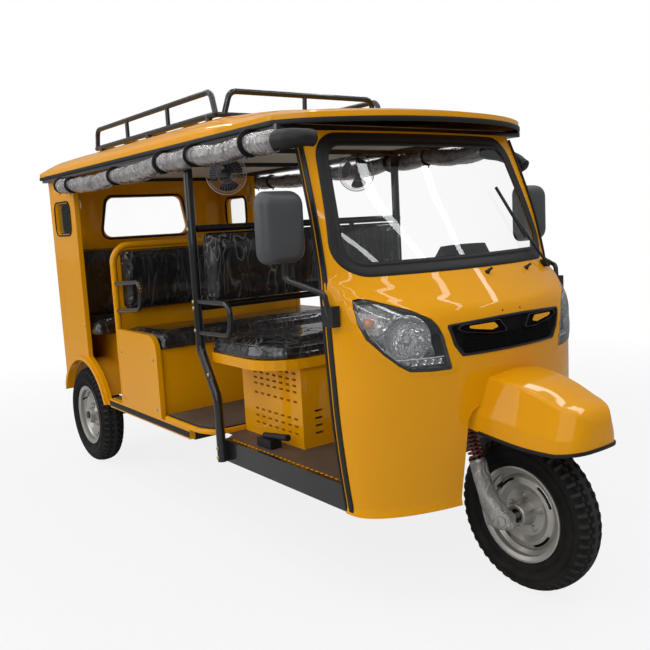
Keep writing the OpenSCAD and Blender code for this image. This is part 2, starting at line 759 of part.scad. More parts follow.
// Inner wheel housing: a half drum over the tyre, closed on its inner side
module wheel_housings() {
    wall = 8;
    inner_x = tank_half_x + seat_gap;
    outer_x = body_x - panel_t;
    color(yellow) both_sides() intersection() {
        translate([inner_x, rear_y, tyre_r]) rotate([0, 90, 0]) difference() {
            cylinder(r = arch_r, h = outer_x - inner_x, $fn = 96);
            translate([0, 0, wall]) cylinder(r = arch_r - wall, h = outer_x, $fn = 96);
        }
        block([inner_x - 1, rear_y - 500, rail_top + floor_t], [outer_x, back_y - panel_t, 1000]);
    }
}

module tail_lamps() {
    lamp_x = body_x - 31;
    color("#a01818") both_sides()
        plate_y(round_corners([[-lamp_x, 560], [80 - lamp_x, 560], [80 - lamp_x, 760], [-lamp_x, 760]], 16, 4),
            back_y, 22);
}

// Flat board for the number plate, in the middle of the back panel
module plate_board() {
    color(black) plate_y(round_corners([[-170, 600], [170, 600], [170, 720], [-170, 720]], 10, 4), back_y, 5);
}

// Mirrors: a bent arm on a clamp at each edge of the cowl, and a tall housing. The left one is turned
// further in and back
mirror_foot = [-body_x - 3, 300, 1000];
mirror_half_h = 118;
function mirror_head(side) = [-body_x - (side < 0 ? 85 : 62), side < 0 ? 432 : 478, 1292];

// One mirror's children, drawn on the right and mirrored for the left
module on_side(side) { mirror([side < 0 ? 0 : 1, 0, 0]) children(); }

module mirror_arms() {
    arm_r = 9;
    color(black) for (side = [-1, 1]) on_side(side) {
        top = mirror_head(side) - [0, 6, mirror_half_h + seat_gap];
        block(mirror_foot - [10, 22, 34], mirror_foot + [20 - seat_gap, 32, 34]);
        bent_bar([mirror_foot + [-2, 4, 0], mirror_foot + [-10, 16, 74], top - [0, 0, 50], top], arm_r, 24);
    }
}

module mirror_heads() {
    half_w = 86;
    face_t = 26;
    shell_t = 62;
    rim = [[-half_w, -mirror_half_h], [half_w, -mirror_half_h], [half_w, mirror_half_h], [-half_w, mirror_half_h]];
    crown = [for (p = rim) [p.x - sign(p.x) * 18, p.y - sign(p.y) * 20]];
    color(black) for (side = [-1, 1]) on_side(side) translate(mirror_head(side)) hull() {
        plate_y(round_corners(rim, 42, 5), 0, face_t);
        plate_y(round_corners(crown, 42, 5), face_t - shell_t, shell_t);
    }
}

// Rolled curtain under the roof's edge: fat between its ties
module curtain_rolls() {
    roll_r = 30;
    roll_z = pillar_top - roll_r - seat_gap;
    front = 500;
    span = rear_y - 20 - front;
    bays = 8;
    roll_x = pillar_x + pillar_r + roll_r + 2;
    color("#8d8886") both_sides() translate([-roll_x, front, roll_z]) rotate([-90, 0, 0]) rotate_extrude()
        polygon(concat([[0, 0]],
            [for (k = [0 : bays * 6])
                [roll_r - (k % 6 == 0 ? 6 : 0) - 3 * pow(cos(30 * k), 2), span * k / (bays * 6)]],
            [[0, span]]));
}

fan_turn = 30;
fan_back = 45;
fan_drop = 84;
fan_cage_half = 28;
fan_motor_front = -16;
// Lays a fan's own axis level, pointing back and a little to the left, with the hub at the origin
module at_fan(side) {
    translate([side * fan_x, pillar_y + fan_back, pillar_top - fan_drop])
        rotate([0, 0, -fan_turn]) rotate([-90, 0, 0]) children();
}

// Motors hung from the roof's middle bow, each with a wire cage
module cabin_fans() {
    motor_r = 26;
    motor_l = 62;
    wire_r = 1.8;
    rim = fan_d / 2 - 2.5;
    spokes = 6;
    stem = [sin(fan_turn), cos(fan_turn), 0] * (fan_motor_front - 27);
    color(silver) for (side = [-1, 1]) {
        at_fan(side) {
            translate([0, 0, fan_motor_front - motor_l]) cylinder(r = motor_r, h = motor_l);
            translate([0, 0, fan_cage_half - 2]) cylinder(r = 22, h = 4);
            rotate_extrude() translate([rim, 0]) circle(2.5);
            for (deep = [-fan_cage_half, fan_cage_half], k = [0 : spokes - 1])
                rotate([0, 0, 360 * k / spokes]) {
                    bar([16, 0, deep], [rim - 12, 0, deep], wire_r);
                    bar([rim - 12, 0, deep], [rim, 0, 0], wire_r);
                }
        }
        translate([side * fan_x, pillar_y + fan_back, pillar_top - fan_drop] + stem) {
            cylinder(r = 8, h = fan_drop - seat_gap);
            translate([0, 0, fan_drop - 6]) cylinder(r = 12, h = 6 - seat_gap);
        }
    }
}

// Hub that seats on the motor's face, with three slanted blades
module fan_blades(side) {
    blade = [[8, -9], [26, -20], [50, -29], [64, -28], [71, -14], [72, 4], [64, 18], [46, 20], [26, 14], [8, 9]];
    reach = (fan_d / 2 - 15) / 74;
    color("#1c3a6e") at_fan(side) {
        translate([0, 0, fan_motor_front + seat_gap]) cylinder(r = 15, h = 26);
        for (k = [0 : 2])
            rotate([0, 0, 120 * k + 40]) rotate([24, 0, 0]) translate([0, 0, -1.2])
                linear_extrude(2.4) polygon(blade * reach);
    }
}

module parking_brake() {
    foot = [-(body_x - 113), 900, floor_z];
    color(black) {
        block(foot + [-26, -40, 0], foot + [26, 60, 36]);
        bar(foot + [0, 40, 40], foot + [0, -130, 62], 13);
    }
}

gear_r = 98;
// Differential, axle tubes, spring seats, brake drums and the spindles that carry the wheels
module rear_axle() {
    tube_r = 34;
    drum_in = track / 2 - 88;
    drum_out = track / 2 + 2;
    color(black) translate([0, rear_y, tyre_r]) {
        rotate([0, 90, 0]) {
            translate([0, 0, -drum_in]) cylinder(r = tube_r, h = 2 * drum_in);
            translate([0, 0, -70]) cylinder(r = gear_r, h = 140);
            for (side = [-1, 1]) {
                translate([0, 0, side * (drum_in + drum_out) / 2]) cylinder(r = 92, h = drum_out - drum_in, center = true);
                translate([0, 0, side * (drum_out + 28)]) cylinder(r = spindle_r, h = 60, center = true);
            }
        }
        both_sides() block([365, -40, -20], [415, 40, tube_r + 12]);
    }
}

// Leaf springs on the axle's seats, each with an eye and a hanger at both ends
module leaf_springs() {
    spring_w = 50;
    leaf_t = 7;
    reach = 250;
    sag = 12;
    eye_r = 12;
    base_z = tyre_r + 46 + seat_gap;
    eye_z = base_z + sag + 2 * leaf_t;
    function curve(u, under) = [rear_y + reach * u, base_z + sag * u * u + leaf_t * (3 - under)];
    color(black) both_sides() {
        plate_x(concat(
            [for (k = [-8 : 8]) curve(k / 8, 0)],
            [for (u = [1, 0.75]) curve(u, 1)], [for (u = [0.75, 0.5]) curve(u, 2)],
            [for (k = [4 : -1 : -4]) curve(k / 8, 3)],
            [for (u = [-0.5, -0.75]) curve(u, 2)], [for (u = [-0.75, -1]) curve(u, 1)]), 390 - spring_w / 2, spring_w);
        for (end = [-1, 1]) {
            translate([390, rear_y + end * reach, eye_z]) rotate([0, 90, 0])
                cylinder(r = eye_r, h = spring_w + 8, center = true);
            block([390 - 20, rear_y + end * reach - 9, eye_z], [390 + 20, rear_y + end * reach + 9, rail_top - cross_h]);
        }
    }
}

module motor() {
    motor_r = 88;
    lift = 20;
    ahead = sqrt(pow(gear_r + motor_r + seat_gap, 2) - lift * lift);
    color("#55585a") translate([0, rear_y - ahead, tyre_r + lift]) rotate([0, 90, 0]) difference() {
        cylinder(r = motor_r, h = 250, center = true);
        for (side = [-1, 1]) translate([0, 0, side * 125]) cylinder(r = 40, h = 12, center = true);
    }
}

// Wheel: drawn with its axle along Z and its nuts towards +Z
spindle_r = 20;
bead_r = rim_d / 2;
flange_r = bead_r + 15;
flange_t = 6;

// Outside of the tyre's section, by a rounded square from one bead to the other
function tyre_section() =
    let (mid = (tyre_r + flange_r) / 2 - 6, n = 2.5)
        concat([[bead_r + seat_gap, rim_w / 2 - 2], [flange_r + 2, rim_w / 2 - seat_gap]],
            [for (k = [0 : 16])
                let (t = -20 + 12.5 * k, c = cos(t), s = sin(t))
                    [mid + (tyre_r - mid) * sign(s) * pow(abs(s), 2 / n), tyre_w / 2 * sign(c) * pow(abs(c), 2 / n)]],
            [[flange_r + 2, -rim_w / 2 + seat_gap], [bead_r + seat_gap, -rim_w / 2 + 2]]);

module tyre_form() {
    groove_w = 7;
    groove_d = 7;
    color(black) difference() {
        rotate_extrude($fn = 96) polygon(tyre_section());
        for (z = [-22, 22]) translate([0, 0, z - groove_w / 2]) difference() {
            cylinder(r = tyre_r + 5, h = groove_w);
            translate([0, 0, -1]) cylinder(r = tyre_r - groove_d, h = groove_w + 2);
        }
    }
}

module rim_form(bore_r, hub_back, hub_front) {
    half = rim_w / 2;
    wall = 5;
    drop = 14;
    disc_z = 14;
    slot_r = 112;
    color(silver) difference() {
        union() {
            rotate_extrude($fn = 96) polygon([
                [flange_r, half + flange_t], [flange_r, half], [bead_r, half - 2], [bead_r, 22], [bead_r - drop, 14],
                [bead_r - drop, -14], [bead_r, -22], [bead_r, -half + 2], [flange_r, -half], [flange_r, -half - flange_t],
                [flange_r - 7, -half - flange_t], [bead_r - wall, -half], [bead_r - wall, -25], [bead_r - drop - wall, -16],
                [bead_r - drop - wall, 16], [bead_r - wall, 25], [bead_r - wall, half], [flange_r - 7, half + flange_t]]);
            rotate_extrude($fn = 96) polygon([
                [bore_r, hub_back], [40, hub_back], [40, disc_z - wall], [86, disc_z - wall], [104, disc_z + 8],
                [122, disc_z + 2], [bead_r - drop - wall + 1, disc_z - 10], [bead_r - drop - wall + 1, disc_z - 2],
                [122, disc_z + 9], [103, disc_z + 14], [82, disc_z + 2], [46, disc_z + 2], [42, disc_z + 10], [36, hub_front],
                [bore_r, hub_front]]);
            for (k = [0 : wheel_nuts - 1]) rotate([0, 0, 360 / wheel_nuts * k]) translate([nut_circle_r, 0, disc_z - 3]) {
                cylinder(r = 12, h = 14, $fn = 6);
                cylinder(r = 6, h = 24);
            }
        }
        for (k = [0 : 3]) rotate([0, 0, 90 * k + 20])
            rotate_extrude(angle = 40, $fn = 96) translate([slot_r + 2, -10]) square([9, 60]);
    }
}

// Places a wheel's drawing at one corner of the vehicle, with its nuts towards the side given by side
module at_wheel(x, y, side) { translate([x, y, tyre_r]) rotate([0, 90 * side, 0]) children(); }

module rear_rim(side) {
    at_wheel(side * track / 2, rear_y, side) rim_form(spindle_r + run_gap, 8, 52);
}
module rear_tyre(side) { at_wheel(side * track / 2, rear_y, side) tyre_form(); }

axle_r = 10;
module front_rim() { at_wheel(0, 0, -1) rim_form(axle_r + run_gap, -56, 56); }
module front_tyre() { at_wheel(0, 0, -1) tyre_form(); }

module front_axle() {
    nut_r = 17;
    end = leg_x + 30;
    color(silver) translate([0, 0, tyre_r]) rotate([0, 90, 0]) {
        cylinder(r = axle_r, h = 2 * end, center = true);
        for (side = [-1, 1]) translate([0, 0, side * (end - 5)]) cylinder(r = nut_r, h = 10, center = true, $fn = 6);
    }
}

// Sliders on the steering axis' plane, each with a lug that reaches forward to the axle
module fork_legs() {
    lug_t = 30;
    foot_h = -30;
    slider_top = axis_h(455);
    color(silver) difference() {
        union() {
            both_sides() on_steering_axis() translate([leg_x, 0, foot_h]) cylinder(d = slider_d, h = slider_top - foot_h);
            both_sides() hull() {
                translate([leg_x - lug_t / 2, 0, tyre_r]) rotate([0, 90, 0]) cylinder(r = 27, h = lug_t);
                translate([leg_x - lug_t / 2, on_axis(tyre_r - 12).y, tyre_r - 12]) rotate([0, 90, 0]) cylinder(r = 24, h = lug_t);
            }
        }
        translate([0, 0, tyre_r]) rotate([0, 90, 0]) cylinder(r = axle_r + run_gap, h = 600, center = true);
    }
}

// Coil springs over the stanchions, drawn as stacked rings that touch
module fork_springs() {
    coil_r = 6;
    coils = 9;
    low = axis_h(455) + seat_gap;
    high = axis_h(crown_z) - 22;
    color("#7a2a2a") both_sides() on_steering_axis() translate([leg_x, 0, low])
        difference() {
            rotate_extrude() polygon(concat([[slider_d / 2 - 12, 0]],
                [for (k = [0 : coils * 4])
                    [slider_d / 2 - 3 + coil_r * sin(90 * k - 90) * 0.6, (high - low) * k / (coils * 4)]],
                [[slider_d / 2 - 12, high - low]]));
            translate([0, 0, -1]) cylinder(r = slider_d / 2 - 14, h = 400);
        }
}

// Lower yoke, stem and upper clamp
module fork_crown() {
    yoke_h = 40;
    low = axis_h(crown_z) - 22;
    color(black) on_steering_axis() {
        translate([0, 0, low]) linear_extrude(yoke_h)
            polygon(round_corners([[-leg_x - 36, -34], [leg_x + 36, -34], [leg_x + 36, 34], [-leg_x - 36, 34]], 30, 5));
        translate([0, 0, low + 1]) cylinder(d = stem_d, h = axis_h(bar_z) - low - 24);
        both_sides() translate([leg_x, 0, axis_h(455) + seat_gap])
            cylinder(r = slider_d / 2 - 15, h = low - axis_h(455) + 1);
    }
}

// Handlebar swept back to its grips, on a clamp at the stem's top, with brake levers
module handlebar() {
    bar_r = 11;
    sweep = 90;
    grip_r = 17;
    c = on_axis(bar_z);
    function at(x, back, up) = c + [x, back * cos(rake), up - back * sin(rake)];
    color(black) {
        on_steering_axis() translate([0, 0, axis_h(bar_z) - 23]) cylinder(r = 34, h = 40);
        both_sides() {
            bent_bar([at(10, 0, 0), at(110, 0, 20), at(200, sweep * 0.6, 28), at(bar_half_w, sweep, 26)], bar_r, 40);
            bar(at(bar_half_w - 104, sweep * 0.66, 27.8), at(bar_half_w, sweep, 26), grip_r);
            bar(at(196, sweep * 0.56 + 6, 28), at(206, sweep * 0.56 - 48, 28), 9);
            bar(at(203, sweep * 0.56 - 40, 28), at(bar_half_w - 10, sweep - 40, 26), 6);
        }
    }
}

// Moves the whole vehicle from the front axle to the middle of its length
module placed() { translate([0, -overall_l / 2 + nose_y, 0]) children(); }

placed() chassis_frame();
placed() floor_panel();
placed() front_sills();
placed() rear_sills();
placed() front_cowl();
placed() windscreen();
placed() window_seals();
placed() headlamps();
placed() grille();
placed() front_mudguard();
placed() dashboard();
placed() wiper();
placed() roof_frame();
placed() roof_shell();
placed() roof_lining();
placed() roof_rack();
placed() b_pillars();
placed() driver_seat_box();
placed() battery_pack();
placed() driver_seat_pan();
placed() driver_cushion();
placed() driver_back_frame();
placed() driver_back_pad();
placed() mid_seat_box();
placed() mid_cushion();
placed() mid_back_frame();
placed() mid_back_pad();
placed() rear_seat_box();
placed() rear_cushion();
placed() rear_back_pad();
placed() side_panels();
placed() back_panel();
placed() rear_glass();
placed() wheel_housings();
placed() tail_lamps();
placed() plate_board();
placed() mirror_arms();
placed() mirror_heads();
placed() cabin_fans();
placed() fan_blades(-1);  // fan_blades_right
placed() fan_blades(1);  // fan_blades_left
placed() curtain_rolls();
placed() parking_brake();
placed() rear_axle();
placed() leaf_springs();
placed() motor();
placed() rear_rim(-1);  // rear_rim_right
placed() rear_tyre(-1);  // rear_tyre_right
placed() rear_rim(1);  // rear_rim_left
placed() rear_tyre(1);  // rear_tyre_left
placed() fork_legs();
placed() fork_springs();
placed() fork_crown();
placed() front_axle();
placed() handlebar();
placed() front_rim();
placed() front_tyre();
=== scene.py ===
"""Looks of a three-row electric passenger tricycle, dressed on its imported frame.

Sizes are in millimetres from the point on the ground under the front axle: +X is the vehicle's left,
+Y its rear and +Z up. Mesh.piece turns them into metres in the shared frame.
"""

import logging
import math
from dataclasses import dataclass, field
from enum import Enum
from typing import Callable, Optional, Sequence

import bmesh
import bpy
from mathutils import Matrix, Vector, noise


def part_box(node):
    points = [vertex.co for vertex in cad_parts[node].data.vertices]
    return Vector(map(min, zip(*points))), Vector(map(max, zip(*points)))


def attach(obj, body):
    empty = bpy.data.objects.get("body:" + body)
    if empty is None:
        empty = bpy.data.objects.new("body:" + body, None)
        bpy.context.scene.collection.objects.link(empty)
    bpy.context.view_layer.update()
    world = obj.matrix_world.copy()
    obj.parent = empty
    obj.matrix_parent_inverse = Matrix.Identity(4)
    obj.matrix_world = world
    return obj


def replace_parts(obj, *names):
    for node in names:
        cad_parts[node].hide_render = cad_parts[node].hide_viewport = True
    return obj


log = logging.getLogger("tricycle")
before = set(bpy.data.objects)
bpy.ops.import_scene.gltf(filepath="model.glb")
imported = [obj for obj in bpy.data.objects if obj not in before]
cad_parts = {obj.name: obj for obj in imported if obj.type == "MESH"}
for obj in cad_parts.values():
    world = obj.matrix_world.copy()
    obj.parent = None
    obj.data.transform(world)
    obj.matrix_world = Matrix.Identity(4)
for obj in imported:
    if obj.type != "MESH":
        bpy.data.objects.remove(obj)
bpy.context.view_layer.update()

Point = tuple[float, float, float]
Flat = tuple[float, float]
Rgb = tuple[int, int, int]

AXLE_Y = sum(corner[1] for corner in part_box("front_axle")) / 2
WHEELBASE = 2675
HALF_TRACK = 530
AXLE_Z = 272
FORK_X = 112
FORK_Y = 60
FORK_RAKE = math.radians(20)
SIDES = (-1, 1)


class Body(Enum):
    """Moving bodies of the frame."""

    SHELL = "body"
    FORK = "fork"
    FRONT_WHEEL = "front_wheel"
    REAR_RIGHT = "rear_wheel_right"
    REAR_LEFT = "rear_wheel_left"
    FAN_RIGHT = "fan_right"
    FAN_LEFT = "fan_left"


WHEELS = (("front", Body.FRONT_WHEEL, 0, 0), ("rear_right", Body.REAR_RIGHT, -HALF_TRACK, WHEELBASE),
          ("rear_left", Body.REAR_LEFT, HALF_TRACK, WHEELBASE))


def linear(color: Rgb) -> tuple[float, float, float, float]:
    """Turns a screen colour into scene light.

    Args:
        color: Red, green and blue from 0 to 255.

    Returns:
        The linear colour with full opacity.
    """
    parts = [c / 255 for c in color]
    r, g, b = (p / 12.92 if p <= 0.04045 else ((p + 0.055) / 1.055) ** 2.4 for p in parts)
    return r, g, b, 1.0


def place(p: Sequence[float]) -> Vector:
    """Turns a point of this script into the shared frame.

    Args:
        p: Millimetres from the ground point under the front axle.

    Returns:
        The point in metres in the row frame.
    """
    return Vector((p[0] / 1000, p[1] / 1000 + AXLE_Y, p[2] / 1000))


def clamp(value: float) -> float:
    """Keeps a share between 0 and 1.

    Args:
        value: The share.

    Returns:
        The share, or the end that it passed.
    """
    return max(0.0, min(1.0, value))


def stand(name: str, data: bpy.types.ID) -> bpy.types.Object:
    """Puts a new object in the scene.

    Args:
        name: Its name.
        data: Its mesh, light or camera.

    Returns:
        The object.
    """
    obj = bpy.data.objects.new(name, data)
    bpy.context.scene.collection.objects.link(obj)
    return obj


def add_nodes(tree: bpy.types.NodeTree, kinds: dict[str, tuple[str, dict]]) -> dict[str, bpy.types.Node]:
    """Adds shader nodes to a tree.

    Args:
        tree: The tree.
        kinds: Type and settings of each node by a short name. A setting is an input, by name or number,
            or with a dot in front a property of the node.

    Returns:
        The nodes by short name.
    """
    made = {}
    for name, (kind, settings) in kinds.items():
        node = made[name] = tree.nodes.new("ShaderNode" + kind)
        for key, value in settings.items():
            if isinstance(key, str) and key.startswith("."):
                setattr(node, key[1:], value)
            else:
                node.inputs[key].default_value = value
    return made


def wire(tree: bpy.types.NodeTree, nodes: dict[str, bpy.types.Node], links: Sequence[str]) -> None:
    """Joins nodes of a tree.

    Args:
        tree: The tree.
        nodes: The nodes by short name.
        links: Each "node.output > node.input", with a socket's name or number.
    """
    for link in links:
        ends = []
        for end, side in zip(link.split(" > "), ("outputs", "inputs")):
            name, socket = end.split(".")
            ends.append(getattr(nodes[name], side)[int(socket) if socket.isdigit() else socket])
        tree.links.new(*ends)


GROUPS: dict[str, bpy.types.NodeTree] = {}
TIMES = {".operation": "MULTIPLY"}


@dataclass(frozen=True)
class Effect:
    """Shared shader effect, made once as a node group: its inputs, outputs, nodes and links."""

    name: str
    inputs: dict
    outputs: tuple
    nodes: dict
    links: tuple

    def group(self) -> bpy.types.NodeTree:
        """Makes the node group.

        Returns:
            The group.
        """
        if self.name in GROUPS:
            return GROUPS[self.name]
        tree = GROUPS[self.name] = bpy.data.node_groups.new(self.name, "ShaderNodeTree")
        for label, value in self.inputs.items():
            kind = "NodeSocketColor" if isinstance(value, tuple) else "NodeSocketFloat"
            tree.interface.new_socket(name=label, in_out="INPUT", socket_type=kind).default_value = value
        for label in self.outputs:
            kind = "NodeSocketColor" if label == "Color" else "NodeSocketFloat"
            tree.interface.new_socket(name=label, in_out="OUTPUT", socket_type=kind)
        nodes = add_nodes(tree, {"where": ("TexCoord", {}), **self.nodes})
        nodes["in"], nodes["out"] = tree.nodes.new("NodeGroupInput"), tree.nodes.new("NodeGroupOutput")
        wire(tree, nodes, self.links)
        return tree

    def node(self, tree: bpy.types.NodeTree, values: dict) -> bpy.types.Node:
        """Puts the effect in a material.

        Args:
            tree: The material's node tree.
            values: Input name to value.

        Returns:
            The group node.
        """
        node = tree.nodes.new("ShaderNodeGroup")
        node.node_tree = self.group()
        for socket, value in values.items():
            node.inputs[socket].default_value = value
        return node


class Texture(Enum):
    """Kinds of fine surface: fine grain, folds of thin film that can carry painted glint lines, ribs of a mat
    and cells of embossed vinyl.
    """

    SMOOTH = None
    GRAIN = Effect(
        "grain", {"Scale": 300.0, "Color": (1, 1, 1, 1), "Other": (0, 0, 0, 1),
                  "Patch": 6.0}, ("Color", "Height"),
        {"fine": ("TexNoise", {"Detail": 4}), "wide": ("TexNoise", {"Detail": 4}),
         "ramp": ("MapRange", {"From Min": 0.35, "From Max": 0.75}), "mix": ("MixRGB", {})},
        ("where.Object > fine.Vector", "where.Object > wide.Vector", "in.Scale > fine.Scale",
         "in.Patch > wide.Scale", "wide.Fac > ramp.Value", "ramp.Result > mix.Fac", "in.Color > mix.Color1",
         "in.Other > mix.Color2", "mix.Color > out.Color", "fine.Fac > out.Height"))
    # Folds of film in relief, plus painted highlights: a pale colour mixed into the base colour along the fold
    # lines as glints.
    CRINKLE = Effect(
        "crinkle", {"Scale": 14.0, "Color": (0, 0, 0, 1), "Pale": (0.6, 0.6, 0.6, 1), "Streak": 0.0},
        ("Color", "Height"),
        {"stretch": ("Mapping", {"Scale": (1.0, 1.0, 0.45)}),
         "fine": ("TexNoise", {"Detail": 2, "Distortion": 0.6}),
         "wide": ("TexNoise", {"Detail": 2, "Distortion": 0.3}),
         "line": ("MapRange", {"From Min": 0.0, "From Max": 0.022, "To Min": 1.0, "To Max": 0.0}),
         "some": ("MapRange", {"From Min": 0.46, "From Max": 0.66, "To Min": 0.0, "To Max": 1.0}),
         "level": ("Math", {".operation": "SUBTRACT", 1: 0.5}), "edge": ("Math", {".operation": "ABSOLUTE"}),
         "slow": ("Math", {**TIMES, 1: 0.3}), "fold": ("Math", TIMES), "weak": ("Math", TIMES),
         "height": ("Math", {".operation": "ADD"}), "mix": ("MixRGB", {})},
        ("where.Object > stretch.Vector", "stretch.Vector > fine.Vector", "stretch.Vector > wide.Vector",
         "in.Scale > fine.Scale", "in.Scale > slow.0", "slow.Value > wide.Scale", "fine.Fac > level.0",
         "level.Value > edge.0", "edge.Value > line.Value", "wide.Fac > some.Value", "line.Result > fold.0",
         "some.Result > fold.1", "edge.Value > height.0", "wide.Fac > height.1", "fold.Value > weak.0",
         "in.Streak > weak.1", "weak.Value > mix.Fac", "in.Color > mix.Color1", "in.Pale > mix.Color2",
         "mix.Color > out.Color", "height.Value > out.Height"))
    RIBS = Effect(
        "ribs", {"Scale": 30.0}, ("Height",), {"check": ("TexChecker", {})},
        ("where.Object > check.Vector", "in.Scale > check.Scale", "check.Fac > out.Height"))
    HIDE = Effect(
        "hide", {"Scale": 350.0}, ("Height",), {"cells": ("TexVoronoi", {".feature": "DISTANCE_TO_EDGE"})},
        ("where.Object > cells.Vector", "in.Scale > cells.Scale", "cells.Distance > out.Height"))


GRIME = Effect(
    "grime", {"Color": (0, 0, 0, 1), "Dust": (0.3, 0.28, 0.25, 1), "Amount": 0.3, "Top": 0.5}, ("Color",),
    {"split": ("SeparateXYZ", {}), "cloud": ("TexNoise", {"Scale": 22, "Detail": 6}),
     "fall": ("MapRange", {"From Min": 0.0, "To Min": 1.0, "To Max": 0.0}), "part": ("Math", TIMES),
     "mask": ("Math", TIMES), "mix": ("MixRGB", {})},
    ("where.Object > split.Vector", "where.Object > cloud.Vector", "split.Z > fall.Value",
     "in.Top > fall.From Max", "fall.Result > part.0", "cloud.Fac > part.1", "part.Value > mask.0",
     "in.Amount > mask.1", "mask.Value > mix.Fac", "in.Color > mix.Color1", "in.Dust > mix.Color2",
     "mix.Color > out.Color"))

MADE: dict[str, bpy.types.Material] = {}


@dataclass(frozen=True)
class Finish:
    """One finish: its colours, painted glint lines, gloss and fine surface."""

    name: str
    color: Rgb
    roughness: float
    metallic: float = 0.0
    coat: float = 0.0
    ior: float = 1.5
    other: Optional[Rgb] = None
    patch: float = 5.0
    texture: Texture = Texture.SMOOTH
    scale: float = 300.0
    bump: float = 0.2
    depth: float = 0.001
    dust: float = 0.0
    dust_top: float = 0.5
    gloss: float = 0.5
    # Strength of painted highlights: pale glint lines along the folds of a crinkled finish.
    streak: float = 0.0
    coat_ior: float = 1.5

    def material(self) -> bpy.types.Material:
        """Makes the material, once for each finish.

        Returns:
            The material.
        """
        if self.name in MADE:
            return MADE[self.name]
        mat = MADE[self.name] = bpy.data.materials.new(self.name)
        mat.use_nodes = True
        shader = mat.node_tree.nodes["Principled BSDF"]
        values = {"Base Color": linear(self.color), "Roughness": self.roughness, "Metallic": self.metallic,
                  "IOR": self.ior, "Specular IOR Level": self.gloss, "Coat Weight": self.coat,
                  "Coat Roughness": 0.03, "Coat IOR": self.coat_ior}
        for socket, value in values.items():
            shader.inputs[socket].default_value = value
        self.dress(mat.node_tree, shader)
        return mat

    def dress(self, tree: bpy.types.NodeTree, shader: bpy.types.Node) -> None:
        """Adds colour shift, dust, fine relief and painted glint lines along the folds.

        Args:
            tree: The material's node tree.
            shader: Its main shader.
        """
        base, color = linear(self.color), None
        if self.other is not None:
            color = Texture.GRAIN.value.node(tree, {"Scale": 200.0, "Patch": self.patch, "Color": base,
                                                    "Other": linear(self.other)}).outputs["Color"]
        if self.dust:
            grime = GRIME.node(tree, {"Color": base, "Amount": self.dust, "Top": self.dust_top})
            if color is not None:
                tree.links.new(color, grime.inputs["Color"])
            color = grime.outputs["Color"]
        if color is not None:
            tree.links.new(color, shader.inputs["Base Color"])
        if self.texture is Texture.SMOOTH:
            return
        relief = self.texture.value.node(tree, {"Scale": self.scale})
        # Painted highlights: pale glint lines along the folds, mixed into the base colour.
        if self.streak:
            relief.inputs["Color"].default_value = base
            relief.inputs["Streak"].default_value = self.streak
            if color is not None:
                tree.links.new(color, relief.inputs["Color"])
            tree.links.new(relief.outputs["Color"], shader.inputs["Base Color"])
        nodes = add_nodes(tree, {"bump": ("Bump", {"Strength": self.bump, "Distance": self.depth})})
        wire(tree, {**nodes, "relief": relief, "shader": shader},
             ("relief.Height > bump.Height", "bump.Normal > shader.Normal"))


@dataclass(frozen=True)
class ClearFinish(Finish):
    """Thin glass or film: a bright sheen that is clear where it is looked at straight."""

    veil: float = 0.08

    def dress(self, tree: bpy.types.NodeTree, shader: bpy.types.Node) -> None:
        """Makes the sheen follow the angle of view.

        Args:
            tree: The material's node tree.
            shader: Its main shader.
        """
        super().dress(tree, shader)
        nodes = add_nodes(tree, {"sheen": ("Fresnel", {"IOR": self.ior}),
                                 "spread": ("MapRange", {"To Min": self.veil})})
        wire(tree, {**nodes, "shader": shader}, ("sheen.Fac > spread.Value", "spread.Result > shader.Alpha"))


PAINT = Finish("body_paint", (224, 154, 0), 0.5, coat=0.7, other=(218, 147, 0), patch=2.0, gloss=0.05,
               coat_ior=1.38)
INNER_PAINT = Finish("inner_paint", (205, 140, 24), 0.5, coat=0.35, gloss=0.2)
BLACK = Finish("gloss_black", (13, 13, 14), 0.4, coat=0.8, dust=0.06, gloss=0.2)
SATIN = Finish("satin_black", (22, 22, 23), 0.5, gloss=0.3, texture=Texture.GRAIN, scale=500, bump=0.12,
               dust=0.4)
RUBBER = Finish("seal_rubber", (14, 14, 15), 0.5, gloss=0.35, texture=Texture.GRAIN, scale=700, bump=0.06)
PLASTIC = Finish("grained_plastic", (20, 20, 22), 0.45, gloss=0.4, texture=Texture.GRAIN, scale=900,
                 bump=0.18)
MESH_BLACK = Finish("mesh_black", (9, 9, 10), 0.85, gloss=0.15, texture=Texture.GRAIN, scale=500, bump=0.1)
# The pale lines along this film's folds are painted glints.
WRAP = Finish("slider_wrap", (150, 149, 144), 0.35, coat=1.0, other=(104, 102, 98), patch=22.0, streak=0.9,
              texture=Texture.CRINKLE, scale=30, bump=1.0, depth=0.03)
TREAD = Finish("tread_blocks", (44, 44, 43), 0.75, gloss=0.2, texture=Texture.GRAIN, scale=420, bump=0.2)
# Dark drum behind the front rim's slots: its darkness there is painted shade seen through the slots.
DRUM_AND_SLOT_SHADE = Finish("brake_drum_slot_shade", (46, 45, 44), 0.6, metallic=0.5, texture=Texture.GRAIN, scale=500, bump=0.2,
              dust=0.3)
DECK_MAT = Finish("deck_mat", (74, 66, 62), 0.45, other=(96, 88, 84), patch=3.0, gloss=0.4,
                  texture=Texture.GRAIN, scale=260, bump=0.25)
FAN_BLUE = Finish("fan_blades", (17, 25, 62), 0.3, coat=0.5, other=(13, 19, 48), patch=9.0)
FAN_DARK = Finish("fan_motor", (20, 23, 38), 0.4, coat=0.3)
FAN_WIRE = Finish("fan_wire", (196, 188, 178), 0.35, metallic=0.5, coat=0.3)
BRASS = Finish("plated_bolt", (190, 170, 120), 0.3, metallic=0.9, dust=0.2)
SHELL_GREY = Finish("mirror_shell", (62, 64, 66), 0.42, texture=Texture.GRAIN, scale=900, bump=0.1)
